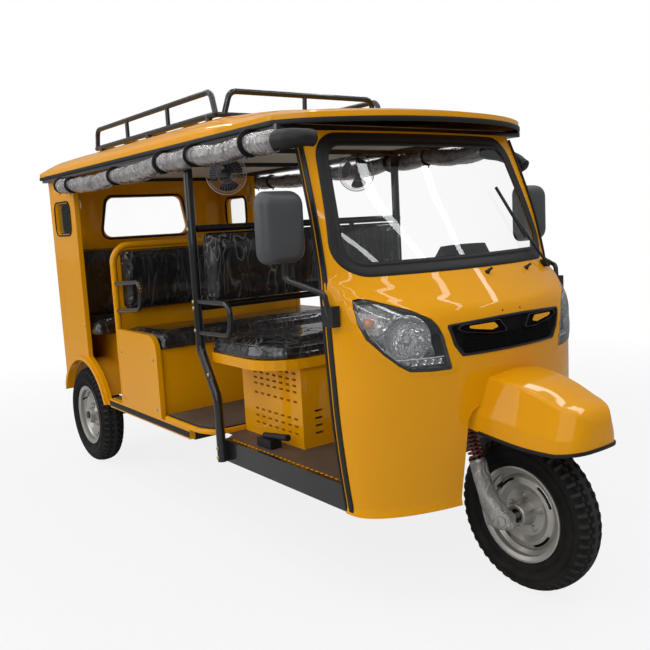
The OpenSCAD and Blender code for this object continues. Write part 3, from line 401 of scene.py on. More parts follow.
TYRE = Finish("tyre_rubber", (8, 8, 8), 0.6, gloss=0.12, texture=Texture.GRAIN, scale=420, bump=0.2, dust=0.1,
              dust_top=0.55)
STEEL = Finish("wheel_silver", (184, 182, 175), 0.34, metallic=0.7, coat=0.4, other=(164, 161, 154),
               dust=0.18)
CHROME = Finish("bright_chrome", (226, 228, 230), 0.08, metallic=1.0)
CRYSTAL = Finish("lamp_crystal", (226, 227, 228), 0.18, metallic=0.45, coat=0.8, texture=Texture.HIDE,
                 scale=75, bump=1.0, depth=0.012)
ALLOY = Finish("cast_alloy", (172, 173, 174), 0.36, metallic=0.8, texture=Texture.CRINKLE, scale=26, bump=0.5,
               depth=0.004)
SPRING = Finish("spring_enamel", (96, 34, 30), 0.35, coat=0.5)
MOTOR = Finish("motor_case", (104, 106, 108), 0.5, metallic=0.6, texture=Texture.GRAIN, scale=600, bump=0.2,
               dust=0.4)
# The pale lines along the vinyl's folds are painted glints.
VINYL = Finish("seat_vinyl", (17, 17, 18), 0.4, coat=1.0, gloss=0.3, streak=0.3, texture=Texture.CRINKLE,
               scale=13, bump=1.0, depth=0.05)
MAT = Finish("floor_mat", (92, 74, 60), 0.62, other=(78, 62, 50), texture=Texture.RIBS, scale=70, bump=0.35,
             dust=0.25)
BATTERY = Finish("battery_case", (44, 47, 52), 0.5, texture=Texture.GRAIN, scale=700, bump=0.15)
RED = Finish("red_lens", (150, 12, 10), 0.12, coat=1.0)
AMBER = Finish("amber_lens", (214, 110, 12), 0.14, coat=1.0)
WHITE_LENS = Finish("white_lens", (222, 224, 226), 0.16, coat=1.0)
LAMP_BLACK = Finish("lamp_black", (20, 21, 22), 0.2, coat=1.0)
MIRROR = Finish("mirror_glass", (235, 238, 240), 0.02, metallic=1.0)
LINER = Finish("headliner", (196, 186, 168), 0.8, texture=Texture.GRAIN, scale=900, bump=0.2)
STRAP = Finish("tan_webbing", (196, 176, 132), 0.75, texture=Texture.RIBS, scale=400, bump=0.3)
GLASS = ClearFinish("clear_glass", (235, 240, 240), 0.02, metallic=1.0, ior=1.45, veil=0.03)
SIDE_GLASS = ClearFinish("side_glass", (235, 240, 240), 0.04, metallic=1.0, ior=1.12, veil=0.02)
LENS = ClearFinish("lamp_cover", (240, 243, 244), 0.03, metallic=1.0, ior=1.5, veil=0.04)
# The pale lines along the film's folds are painted glints.
FILM = Finish("curtain_film", (152, 148, 146), 0.24, metallic=0.2, coat=0.9, other=(84, 80, 80), patch=14.0,
              streak=0.9, texture=Texture.CRINKLE, scale=22, bump=1.0, depth=0.03)


CAD_FINISHES: dict[Finish, tuple[str, ...]] = {
    PAINT: ("rear_sills", "driver_seat_box", "driver_seat_pan", "mid_seat_box", "mid_back_frame",
            "rear_seat_box", "side_panels", "back_panel", "front_mudguard", "front_cowl", "roof_shell"),
    INNER_PAINT: ("wheel_housings",),
    BLACK: ("front_sills", "roof_frame", "roof_rack", "b_pillars", "driver_back_frame", "mirror_arms",
            "handlebar", "fork_crown"),
    SATIN: ("chassis_frame", "rear_axle", "leaf_springs"),
    MAT: ("floor_panel",),
    GLASS: ("windscreen",),
    SIDE_GLASS: ("rear_glass",),
    RUBBER: ("window_seals",),
    PLASTIC: ("grille", "dashboard", "wiper", "parking_brake", "plate_board", "mirror_heads"),
    BATTERY: ("battery_pack",),
    RED: ("tail_lamps",),
    MOTOR: ("motor",),
    STEEL: ("rear_rim_right", "rear_rim_left", "front_rim", "front_axle"),
    TYRE: ("rear_tyre_right", "rear_tyre_left", "front_tyre"),
    ALLOY: ("fork_legs",),
    SPRING: ("fork_springs",),
    VINYL: ("driver_cushion", "driver_back_pad", "mid_cushion", "mid_back_pad", "rear_cushion",
            "rear_back_pad"),
    FILM: ("curtain_rolls",),
    LINER: ("roof_lining",),
    LENS: ("headlamps",),
    FAN_WIRE: ("cabin_fans",),
    FAN_BLUE: ("fan_blades_right", "fan_blades_left"),
}


def smooth(obj: bpy.types.Object, angle: float = 32.0) -> None:
    """Shades a mesh smooth, with its hard edges kept.

    Args:
        obj: The mesh object.
        angle: Edges sharper than this many degrees stay hard.
    """
    obj.data.polygons.foreach_set("use_smooth", [True] * len(obj.data.polygons))
    obj.data.set_sharp_from_angle(angle=math.radians(angle))


def weld(mesh: bpy.types.Mesh, gap: float) -> None:
    """Joins the points of a mesh that meet, and turns its faces outwards.

    Args:
        mesh: The mesh.
        gap: Distance at which points meet, in metres.
    """
    work = bmesh.new()
    work.from_mesh(mesh)
    bmesh.ops.remove_doubles(work, verts=work.verts, dist=gap)
    bmesh.ops.recalc_face_normals(work, faces=work.faces)
    work.to_mesh(mesh)
    work.free()


class Mesh:
    """A mesh in the making, in millimetres from the front axle."""

    def __init__(self) -> None:
        """Starts empty."""
        self.verts: list[Sequence[float]] = []
        self.faces: list[tuple[int, ...]] = []
        self.marks: list[int] = []

    def grid(self, rows: Sequence[Sequence[Sequence[float]]], around: bool = False, ring: bool = False,
             mark: int = 0, flip: bool = False) -> "Mesh":
        """Adds a net of points.

        Args:
            rows: Rows of equally many points.
            around: Whether each row closes on itself.
            ring: Whether the last row joins the first.
            mark: Material slot of the faces.
            flip: Whether the faces look the other way.

        Returns:
            This mesh.
        """
        first, wide, tall = len(self.verts), len(rows[0]), len(rows)
        for row in rows:
            self.verts.extend(row)
        for i in range(tall if ring else tall - 1):
            for j in range(wide if around else wide - 1):
                a, b = first + i * wide + j, first + i * wide + (j + 1) % wide
                c, d = first + (i + 1) % tall * wide + (j + 1) % wide, first + (i + 1) % tall * wide + j
                self.faces.append((d, c, b, a) if flip else (a, b, c, d))
                self.marks.append(mark)
        return self

    def fan(self, loop: Sequence[Sequence[float]], mark: int = 0) -> "Mesh":
        """Closes a loop with one face.

        Args:
            loop: Points of the loop.
            mark: Material slot of the face.

        Returns:
            This mesh.
        """
        first = len(self.verts)
        self.verts.extend(loop)
        self.faces.append(tuple(range(first, first + len(loop))))
        self.marks.append(mark)
        return self

    def sweep(self, path: Sequence[Sequence[float]], section: Sequence[Flat], closed: bool = False,
              up: Point = (0, 0, 1), mark: int = 0) -> "Mesh":
        """Carries a closed section along a path.

        Args:
            path: Points of the path.
            section: Points across the path: sideways and up.
            closed: Whether the path joins up.
            up: Direction that the section's second axis leans towards.
            mark: Material slot of the faces.

        Returns:
            This mesh.
        """
        pts, rows = [Vector(p) for p in path], []
        for i, p in enumerate(pts):
            before = pts[i - 1] if i or closed else p
            after = pts[(i + 1) % len(pts)] if i < len(pts) - 1 or closed else p
            ahead = (after - before).normalized()
            side = ahead.cross(Vector(up))
            side = side.normalized() if side.length > 1e-4 else ahead.orthogonal().normalized()
            rise = side.cross(ahead)
            rows.append([p + side * a + rise * b for a, b in section])
        self.grid(rows, around=True, ring=closed, mark=mark)
        if not closed:
            self.fan(rows[0], mark)
            self.fan(rows[-1][::-1], mark)
        return self

    def tube(self, path: Sequence[Sequence[float]], radius: float, sides: int = 12, closed: bool = False,
             mark: int = 0) -> "Mesh":
        """Adds a round tube.

        Args:
            path: Points of its middle line.
            radius: Radius of the tube.
            sides: Points round it.
            closed: Whether the tube joins up.
            mark: Material slot of the faces.

        Returns:
            This mesh.
        """
        return self.sweep(path, circle(radius, sides), closed, (0.13, 0.21, 0.97), mark)

    def turned(self, section: Sequence[Flat], centre: Point, axis: Point, sides: int = 32,
               mark: int = 0) -> "Mesh":
        """Turns a line about an axis.

        Args:
            section: Radius and distance along the axis, point by point.
            centre: Where the axis starts.
            axis: Its direction.
            sides: Steps in a full turn.
            mark: Material slot of the faces.

        Returns:
            This mesh.
        """
        ahead = Vector(axis).normalized()
        side = ahead.orthogonal().normalized()
        rise = ahead.cross(side)
        base = Vector(centre)
        rows = [[base + ahead * h + (side * math.cos(t) + rise * math.sin(t)) * r
                 for t in turns(sides)] for r, h in section]
        return self.grid(rows, around=True, mark=mark, flip=True)

    def block(self, low: Point, high: Point, mark: int = 0) -> "Mesh":
        """Adds a box.

        Args:
            low: Its lowest corner.
            high: Its highest corner.
            mark: Material slot of the faces.

        Returns:
            This mesh.
        """
        (a, b, c), (d, e, f) = low, high
        loop = [(a, b), (d, b), (d, e), (a, e)]
        rows = [[(x, y, z) for x, y in loop] for z in (c, f)]
        self.grid(rows, around=True, mark=mark)
        self.fan(rows[0][::-1], mark)
        return self.fan(rows[1], mark)

    def mirrored(self) -> "Mesh":
        """Adds the same again on the vehicle's other side.

        Returns:
            This mesh.
        """
        count = len(self.verts)
        self.verts.extend([(-p[0], p[1], p[2]) for p in self.verts])
        self.faces.extend([tuple(i + count for i in reversed(f)) for f in self.faces])
        self.marks.extend(list(self.marks))
        return self

    def piece(self, name: str, finishes: Sequence[Finish], body: Body = Body.SHELL, slot: str = "",
              bevel: float = 0.0, angle: float = 32.0) -> bpy.types.Object:
        """Turns the mesh into a piece that rides on a body.

        Args:
            name: Name of the piece.
            finishes: Finish of each material slot.
            body: Body that it moves with.
            slot: Material slot for the piece; not used.
            bevel: Width of a rounding on hard edges, in millimetres.
            angle: Edges sharper than this many degrees stay hard.

        Returns:
            The piece.
        """
        mesh = bpy.data.meshes.new(name)
        mesh.from_pydata([place(p) for p in self.verts], [], self.faces)
        mesh.polygons.foreach_set("material_index", self.marks)
        weld(mesh, 1e-5)
        obj = stand(name, mesh)
        for finish in finishes:
            mesh.materials.append(finish.material())
        smooth(obj, angle)
        if bevel:
            edge = obj.modifiers.new("edge", "BEVEL")
            edge.width = bevel / 1000
            edge.segments = 2
            edge.angle_limit = math.radians(angle)
        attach(obj, body.value)
        log.info("%s: %d faces", name, len(self.faces))
        return obj


def turns(count: int) -> list[float]:
    """Divides a full turn.

    Args:
        count: How many parts.

    Returns:
        The angle where each part starts, in radians.
    """
    return [2 * math.pi * k / count for k in range(count)]


def circle(radius: float, sides: int) -> list[Flat]:
    """Points of a circle.

    Args:
        radius: Its radius.
        sides: How many points.

    Returns:
        The points in order.
    """
    return [(radius * math.cos(t), radius * math.sin(t)) for t in turns(sides)]


def rounded(outline: Sequence[Flat], radius: float, steps: int = 6) -> list[Flat]:
    """Rounds every corner of an outline.

    Args:
        outline: Corners in order.
        radius: Radius of the rounding.
        steps: Chords to a corner.

    Returns:
        The rounded outline.
    """
    out: list[Flat] = []
    for i, corner in enumerate(outline):
        p = Vector(corner)
        a = (Vector(outline[i - 1]) - p).normalized()
        b = (Vector(outline[(i + 1) % len(outline)]) - p).normalized()
        half = a.angle(b) / 2
        centre = p + (a + b).normalized() * radius / math.sin(half)
        start, end = p + a * radius / math.tan(half) - centre, p + b * radius / math.tan(half) - centre
        first = math.atan2(start.y, start.x)
        turn = (math.atan2(end.y, end.x) - first + math.pi) % (2 * math.pi) - math.pi
        out += [(centre.x + radius * math.cos(first + turn * k / steps),
                 centre.y + radius * math.sin(first + turn * k / steps)) for k in range(steps + 1)]
    return out


def bar(wide: float, tall: float, radius: float, steps: int) -> list[Flat]:
    """Outline of a rounded bar.

    Args:
        wide: Half its width.
        tall: Half its height.
        radius: Radius of its corners.
        steps: Chords to a corner.

    Returns:
        The outline.
    """
    return rounded(((-wide, -tall), (wide, -tall), (wide, tall), (-wide, tall)), radius, steps)


def divided(outline: Sequence[Flat], span: float = 24.0) -> list[Flat]:
    """Adds points along the long sides of a closed outline, so that it can follow a curved surface.

    Args:
        outline: Corners in order.
        span: Longest side that is left whole.

    Returns:
        The outline with more points.
    """
    out: list[Flat] = []
    for a, b in zip(outline, list(outline[1:]) + [outline[0]]):
        count = max(1, math.ceil(math.dist(a, b) / span))
        out += [(a[0] + (b[0] - a[0]) * k / count, a[1] + (b[1] - a[1]) * k / count) for k in range(count)]
    return out


def spline(points: Sequence[Sequence[float]], steps: int) -> list[tuple[float, ...]]:
    """Runs a smooth line through points.

    Args:
        points: Points of any dimension.
        steps: Pieces to each span.

    Returns:
        The points of the smooth line.
    """
    out = []
    for i in range(len(points) - 1):
        a, b = points[i], points[i + 1]
        before, after = points[max(0, i - 1)], points[min(len(points) - 1, i + 2)]
        for k in range(steps):
            t = k / steps
            out.append(tuple(
                0.5 * (2 * q + (s - p) * t + (2 * p - 5 * q + 4 * s - r) * t * t
                       + (3 * q - p - 3 * s + r) * t ** 3)
                for p, q, s, r in zip(before, a, b, after)))
    return out + [tuple(points[-1])]


@dataclass
class Studio:
    """Floor, light and camera."""

    eye: Point = (-2073.43, -1673.17, 1304.34)
    azimuth: float = -36.54
    elevation: float = 7.61
    roll: float = -3.13
    lens: float = 42.94

    def build(self) -> None:
        """Sets the floor, the lights, the world and the camera."""
        scene = bpy.context.scene
        scene.view_settings.view_transform = "Standard"
        self.floor()
        self.world(scene)
        self.lights()
        self.camera(scene)

    @staticmethod
    def floor() -> None:
        """Lays a plain pale floor that is white to the eye, with a trace of shade."""
        mesh = bpy.data.meshes.new("floor")
        mesh.from_pydata([(-40, -40, 0), (40, -40, 0), (40, 40, 0), (-40, 40, 0)], [], [(0, 1, 2, 3)])
        obj = stand("floor", mesh)
        mat = Finish("studio_floor", (196, 196, 197), 0.9).material()
        mesh.materials.append(mat)
        tree = mat.node_tree
        nodes = add_nodes(tree, {
            "glow": ("Emission", {}), "eye": ("MixShader", {}), "mix": ("MixShader", {}),
            "ray": ("LightPath", {}), "where": ("NewGeometry", {}),
            "far": ("VectorMath", {".operation": "LENGTH"}),
            "fade": ("MapRange", {"From Min": 2.2, "From Max": 5.0, "To Min": 0.84, "To Max": 1.0})})
        nodes["lit"], nodes["end"] = tree.nodes["Principled BSDF"], tree.nodes["Material Output"]
        wire(tree, nodes, ("where.Position > far.0", "far.Value > fade.Value", "fade.Result > eye.Fac",
                           "lit.BSDF > eye.1", "glow.Emission > eye.2", "ray.Is Camera Ray > mix.Fac",
                           "lit.BSDF > mix.1", "eye.Shader > mix.2", "mix.Shader > end.Surface"))

    @staticmethod
    def world(scene: bpy.types.Scene) -> None:
        """Makes the surroundings white to the eye and softer as a light.

        Args:
            scene: The scene.
        """
        world = bpy.data.worlds.new("studio")
        scene.world = world
        world.use_nodes = True
        tree = world.node_tree
        nodes = add_nodes(tree, {"white": ("Background", {"Color": (1, 1, 1, 1)}), "mix": ("MixShader", {}),
                                 "ray": ("LightPath", {})})
        nodes["back"], nodes["end"] = tree.nodes["Background"], tree.nodes["World Output"]
        nodes["back"].inputs["Color"].default_value = (0.36, 0.36, 0.37, 1)
        wire(tree, nodes, ("ray.Is Camera Ray > mix.Fac", "back.Background > mix.1",
                           "white.Background > mix.2", "mix.Shader > end.Surface"))

    @staticmethod
    def lights() -> None:
        """Hangs strip lights along the hall, and two wide soft lights at the camera's side."""
        for k, x in enumerate((-3.3, -2.1, -0.9, 0.3, 1.5, 2.7)):
            Studio.lamp("strip_%d" % k, (x, -0.6, 3.7), (0.17, 8.0), 33.0, (x, -0.6, 0.0))
        Studio.lamp("soft_side", (-4.8, -3.4, 3.0), (4.0, 4.0), 76.0, (0, 0, 0.8))
        Studio.lamp("soft_rear", (-4.8, 2.6, 2.8), (4.0, 3.0), 78.0, (0, 0.6, 0.8))

    @staticmethod
    def lamp(name: str, where: Point, size: Flat, power: float, aim: Point) -> None:
        """Hangs one flat light.

        Args:
            name: Its name.
            where: Its place in metres.
            size: Its width and length.
            power: Its power in watts.
            aim: The point that it shines at.
        """
        lamp = bpy.data.lights.new(name, "AREA")
        lamp.shape = "RECTANGLE"
        lamp.size, lamp.size_y = size
        lamp.energy = power
        obj = stand(name, lamp)
        obj.location = where
        obj.rotation_euler = (Vector(aim) - Vector(where)).to_track_quat("-Z", "Y").to_euler()

    def camera(self, scene: bpy.types.Scene) -> None:
        """Stands the camera where the photograph was taken.

        Args:
            scene: The scene.
        """
        a, e, r = (math.radians(v) for v in (self.azimuth, self.elevation, self.roll))
        back = Vector((math.sin(a) * math.cos(e), -math.cos(a) * math.cos(e), math.sin(e)))
        right = (-back).cross(Vector((0, 0, 1))).normalized()
        up = right.cross(-back)
        side, rise = right * math.cos(r) + up * math.sin(r), up * math.cos(r) - right * math.sin(r)
        data = bpy.data.cameras.new("view")
        data.lens = self.lens
        data.sensor_fit = "HORIZONTAL"
        obj = stand("view", data)
        turn = Matrix((side, rise, back)).transposed().to_4x4()
        obj.matrix_world = Matrix.Translation(place(self.eye)) @ turn
        scene.camera = obj


@dataclass
class CowlForm:
    """Surface of the front cowl: each row is height, half width, rear edge, nose and fullness."""

    rows: tuple = ((330, 552, 280, 75, 0.5), (480, 560, 298, 62, 0.5), (640, 565, 314, 50, 0.5),
                   (780, 566, 324, 42, 0.5), (880, 567, 330, 38, 0.5), (950, 567, 334, 42, 0.5),
                   (1010, 566, 340, 70, 0.55), (1080, 563, 348, 150, 0.7), (1145, 560, 356, 215, 0.9),
                   (1300, 553, 392, 315, 1), (1450, 543, 442, 390, 1), (1612, 529, 502, 455, 1))
    jamb: float = 30
    fine: list = field(default_factory=list)

    def row(self, z: float) -> tuple[float, ...]:
        """Finds the cowl's section at one level.

        Args:
            z: Height.

        Returns:
            Half width, rear edge, nose and fullness.
        """
        if not self.fine:
            self.fine = spline(self.rows, 10)
        low = self.fine[0]
        for high in self.fine[1:]:
            if z <= high[0]:
                t = (z - low[0]) / (high[0] - low[0])
                return tuple(a + (b - a) * t for a, b in zip(low[1:], high[1:]))
            low = high
        return low[1:]

    def at(self, x: float, z: float, out: float = 0.0) -> Point:
        """Finds the point of the surface behind a point of the front view.

        Args:
            x: Distance from the middle.
            z: Height.
            out: Distance outwards from the surface.

        Returns:
            The point.
        """
        w, rear, nose, full = self.row(z)
        c = math.sqrt(max(0.0, 1 - min(1.0, abs(x) / (w + out)) ** 2))
        return x, rear - (rear - nose + out) * c ** (2 * full), z

    def line(self, z: float, steps: int, inset: float = 0.0) -> list[Point]:
        """Runs round the cowl at one level, from edge to edge.

        Args:
            z: Height.
            steps: Pieces of the line.
            inset: Distance inwards from the surface.

        Returns:
            Points from the right edge to the left.
        """
        w, rear, nose, full = self.row(z)
        deep = rear - nose - inset
        bow = [((w - inset) * math.sin(t), rear - deep * max(0.0, math.cos(t)) ** (2 * full), z)
               for t in (math.pi * (k / steps - 0.5) for k in range(steps + 1))]
        return [(inset - w, rear + self.jamb, z)] + bow + [(w - inset, rear + self.jamb, z)]


def cut(obj: bpy.types.Object, outline: Sequence[Flat], low: float, high: float) -> None:
    """Cuts a prism, seen from the front, out of a piece.

    Args:
        obj: The piece.
        outline: Outline across and up.
        low: Where the prism starts, front to back.
        high: Where it ends.
    """
    tool = Mesh()
    rows = [[(x, y, z) for x, z in outline] for y in (low, high)]
    tool.grid(rows, around=True).fan(rows[0]).fan(rows[1][::-1])
    mesh = bpy.data.meshes.new("cutter")
    mesh.from_pydata([place(p) for p in tool.verts], [], tool.faces)
    weld(mesh, 1e-6)
    cutter = stand("cutter", mesh)
    mod = obj.modifiers.new("cut", "BOOLEAN")
    mod.operation, mod.solver, mod.object = "DIFFERENCE", "EXACT", cutter
    bake(obj)
    bpy.data.objects.remove(cutter)


def bake(obj: bpy.types.Object) -> None:
    """Applies every modifier of a piece.

    Args:
        obj: The piece.
    """
    view = bpy.context.evaluated_depsgraph_get()
    view.update()
    mesh = bpy.data.meshes.new_from_object(obj.evaluated_get(view))
    obj.modifiers.clear()
    obj.data = mesh


@dataclass
class Cowl:
    """Front cowl with its windscreen, seal, lamps, grille and edgings."""

    form: CowlForm = field(default_factory=CowlForm)
    thickness: float = 12.0
    crease_z: float = 1012
    crease_step: float = 7.0
    brow_step: float = 4.5
    axis_y: float = 560
    arch: tuple = ((-236, 280), (236, 280), (206, 668), (-206, 668))
    screen: tuple = ((-508, 1150), (508, 1150), (452, 1570), (-452, 1570))
    lamp: tuple = ((-524, 1048), (-533, 1018), (-534, 976), (-520, 924), (-481, 872), (-444, 834),
                   (-412, 812), (-344, 807), (-273, 807), (-286, 852), (-303, 918), (-318, 954), (-334, 975),
                   (-388, 1007), (-444, 1031), (-484, 1047), (-504, 1052))
    grille: tuple = ((-286, 952), (-172, 958), (-60, 962), (60, 962), (172, 958), (286, 952), (264, 884),
                     (234, 844), (-234, 844), (-264, 884))

    def build(self) -> None:
        """Builds every piece of the cowl."""
        self.shell()
        self.glass()
        self.seal()
        self.lamps()
        self.grille_face()
        self.edging()

    def screen_outline(self, edge: float) -> list[Flat]:
        """Outline of the windscreen.

        Args:
            edge: Distance outwards.

        Returns:
            The outline.
        """
        grown = [(x + math.copysign(edge, x), z + (edge if z > 1300 else -edge)) for x, z in self.screen]
        return rounded(grown, 70 + edge, 10)

    def shell(self) -> None:
        """Builds the painted shell with its cut-outs and rolled lower lip."""
        foot, head, count = self.form.rows[0][0], self.form.rows[-1][0], 150
        rows = []
        for z in (foot + (head - foot) * k / count for k in range(count + 1)):
            lip = 6 * clamp((362 - z) / 26) ** 2
            row = self.form.line(z, 120, -lip)
            rows.append([row[0]] + [self.pressed(p) for p in row[1:-1]] + [row[-1]])
        obj = Mesh().grid(rows).piece("cowl_shell", [PAINT], slot="body_paint")
        wall = obj.modifiers.new("wall", "SOLIDIFY")
        wall.thickness, wall.offset = self.thickness / 1000, -1
        bake(obj)
        cut(obj, self.screen_outline(0), 100, 700)
        for side in SIDES:
            cut(obj, rounded([(side * -x, z) for x, z in self.grown(self.lamp, 1.0)], 7, 3), -50, 420)
        cut(obj, rounded(self.grown(self.grille, 1.0), 9, 3), -50, 140)
        cut(obj, rounded(self.arch, 60, 8), -50, 280)
        smooth(obj, 40)
        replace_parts(obj, "front_cowl")

    def pressed(self, p: Point) -> Point:
        """Adds the crease across the nose and the raised brow round the lamps.

        Args:
            p: A point of the plain surface.

        Returns:
            The pressed point.
        """
        x, y, z = p
        crease = self.crease_z + 78 * (abs(x) / 500) ** 2.2
        out = self.crease_step / (1 + math.exp((z - crease) / 4)) * clamp((z - 955) / 50) if z < 1150 else 0.0
        at = Vector((-abs(x), z))
        if 780 < z < 1080 and abs(x) > 250:
            corners = [Vector(c) for c in self.lamp]
            gap = min((at - a - (b - a) * clamp((at - a).dot(b - a) / (b - a).length_squared)).length
                      for a, b in zip(corners, corners[1:] + corners[:1]))
            out += self.brow_step * math.exp(-((gap - 5) / 9) ** 2)
        if not out:
            return p
        flat = math.hypot(x, self.axis_y - y)
        return x + out * x / flat * 0.9, y - out * (self.axis_y - y) / flat, z

    @staticmethod
    def grown(outline: Sequence[Flat], edge: float) -> list[Flat]:
        """Moves an outline's corners away from its middle.

        Args:
            outline: Corners.
            edge: Distance outwards, about.

        Returns:
            The moved corners.
        """
        mid = sum((Vector(p) for p in outline), Vector((0, 0))) / len(outline)
        return [tuple(Vector(p) + (Vector(p) - mid).normalized() * edge) for p in outline]

    def glass(self) -> None:
        """Bends the windscreen to the cowl."""
        rows = []
        for k in range(33):
            v = k / 32
            half, z = 512 + (456 - 512) * v, 1144 + 432 * v
            rows.append([self.form.at(half * (j / 30 - 1), z, -6) for j in range(61)])
        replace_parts(Mesh().grid(rows).piece("windscreen_glass", [GLASS], slot="glass"), "windscreen")

    def seal(self) -> None:
        """Lays the wide rubber seal round the windscreen, with a bead at its inner edge."""
        section = [(-12, -7), (-12, 3), (-9, 7), (-3, 8), (1, 5), (3, 4), (8, 6), (20, 9), (30, 7), (35, 2),
                   (35, -1)]
        inner = divided(self.screen_outline(0))
        rows = []
        for edge, out in section:
            outer = [Vector(p) + self.away(inner, k) * edge for k, p in enumerate(inner)]
            rows.append([self.form.at(x, z, out) for x, z in outer])
        Mesh().grid(rows, around=True).piece("windscreen_seal", [RUBBER], slot="rubber", angle=60)

    @staticmethod
    def away(outline: Sequence[Flat], k: int) -> Vector:
        """Finds the way out of an outline at one of its points.

        Args:
            outline: The outline, anticlockwise.
            k: Number of the point.

        Returns:
            The outward direction.
        """
        along = Vector(outline[(k + 1) % len(outline)]) - Vector(outline[k - 1])
        return Vector((along.y, -along.x)).normalized()

    def lamps(self) -> None:
        """Builds both headlamps: surround, bright bowl, amber corner, small lights and a clear cover."""
        mid = Vector((-425, 920))
        ring = divided(rounded(self.lamp, 7, 3), 16)

        def loop(share: float, out: float) -> list[Point]:
            """Shrinks the lamp's outline.

            Args:
                share: Size of the outline.
                out: Distance outwards from the surface.

            Returns:
                The points of the outline.
            """
            return [self.form.at(*(mid + (Vector(p) - mid) * share), out) for p in ring]

        body = Mesh()
        body.grid([loop(1.0, -30), loop(1.0, 3), loop(0.985, 5), loop(0.9, 3), loop(0.87, -4),
                   loop(0.84, -34)], around=True)
        body.grid([loop(0.84, -34), loop(0.6, -46), loop(0.3, -50), loop(0.02, -50)], around=True, mark=1)
        body.mirrored()
        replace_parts(body.piece("lamp_housing", [LAMP_BLACK, CRYSTAL], slot="black_plastic"), "headlamps")
        bowl = Mesh()
        centre, aim = Vector(self.form.at(-408, 916, -9)), Vector((-0.5, -0.87, 0.05))
        bowl.turned([(78, 0), (76, -2), (72, 1), (64, 14), (50, 27), (32, 36), (20, 39)], centre, -aim, 44, 1)
        bowl.turned([(20, 39), (18, 20), (12, 14), (0.5, 13)], centre, -aim, 28)
        band = [[self.form.at(x, z, -11) for x in range(-440, -284, 12)] for z in (826, 838, 850)]
        bowl.grid(band, mark=1)
        for x in (-408, -383, -358, -333, -308):
            spot = Vector(self.form.at(x, 837, -9))
            bowl.turned([(10, -4), (10, 1), (8.5, 2), (5, -2), (0.5, -3)], spot, aim, 16)
        rim = [self.form.at(x, z, -5) for x, z in spline([(-516, 962), (-492, 912), (-458, 860), (-432, 852),
                                                          (-292, 853)], 8)]
        bowl.tube(rim, 4, 8)
        bowl.mirrored().piece("lamp_bowls", [CHROME, CRYSTAL], slot="lamp_lens")
        amber = Mesh()
        spot = Vector(self.form.at(-492, 972, -24))
        amber.turned([(18, -10), (18, 4), (14, 9), (7, 12), (0.5, 13)], spot, aim, 24)
        amber.mirrored().piece("lamp_amber", [AMBER], slot="lamp_lens")
        cover = Mesh()
        cover.grid([loop(s, 3.0) for s in (0.9, 0.75, 0.6, 0.45, 0.3, 0.15, 0.02)], around=True)
        cover.mirrored().piece("lamp_cover", [LENS], slot="lamp_lens")

    def grille_face(self) -> None:
        """Builds the black grille: a frame, a plain band with two slits and a honeycomb below."""
        mid = Vector((0, 903))
        ring = divided(rounded(self.grille, 9, 3), 16)

        def loop(share: float, out: float) -> list[Point]:
            """Shrinks the grille's outline, mostly in height.

            Args:
                share: Height of the outline.
                out: Distance outwards from the surface.

            Returns:
                The points of the outline.
            """
            wide = 1 - (1 - share) * 0.3
            return [self.form.at(*(mid + Vector(((x - mid.x) * wide, (z - mid.y) * share))), out)
                    for x, z in ring]

        face = Mesh()
        face.grid([loop(1.0, -14), loop(1.0, 2.5), loop(0.97, 4), loop(0.88, 3), loop(0.85, -6)], around=True)
        face.grid([loop(0.85, -6), loop(0.6, -9), loop(0.3, -9), loop(0.0, -9)], around=True, mark=1)
        for side in SIDES:
            brow = [(side * x, z) for x, z in ((40, 908), (74, 950), (232, 948), (262, 936), (214, 920),
                                               (110, 906))]
            rows = [[self.form.at(x, z, out) for x, z in rounded(self.grown(brow, g), 6, 3)]
                    for g, out in ((4, -6), (0, 4), (-6, 5))]
            face.grid(rows[:2], around=True, mark=1).grid(rows[1:], around=True)
        for i in range(31):
            for j in range(5):
                x, z = -217 + 14 * i + 7 * (j % 2), 857 + 11 * j
                if abs(x) < 222 + (z - 857) * 0.4:
                    rows = [[self.form.at(x + a, z + b, out) for a, b in circle(r, 6)]
                            for r, out in ((6.6, -5), (6.6, -1), (4.6, -1), (4.4, -5))]
                    face.grid(rows, around=True, mark=1)
        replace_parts(face.piece("grille_face", [PLASTIC, MESH_BLACK], slot="black_plastic"), "grille")
        slits = Mesh()
        for side in SIDES:
            eye = [(side * x, z) for x, z in ((86, 926), (104, 943), (236, 941), (190, 930), (118, 920))]
            slits.fan([self.form.at(x, z, 5.4) for x, z in rounded(eye, 4, 3)])
        slits.piece("grille_slits", [PAINT], slot="body_paint")

    def edging(self) -> None:
        """Runs a black strip and a thin rubber down both rear edges of the cowl."""
        edge = Mesh()
        for back, wide, thick, out in ((-27, 12, 3.5, 0), (0, 5, 6, -2)):
            path = []
            for z in range(334, 1612, 18):
                w, rear, _, _ = self.form.row(z)
                path.append((-w - 1 - out, rear + self.form.jamb + back, z))
            edge.sweep(path, bar(wide, thick, 2.5, 3), up=(1, 0, 0))
        edge.mirrored().piece("cowl_edging", [RUBBER], slot="rubber")


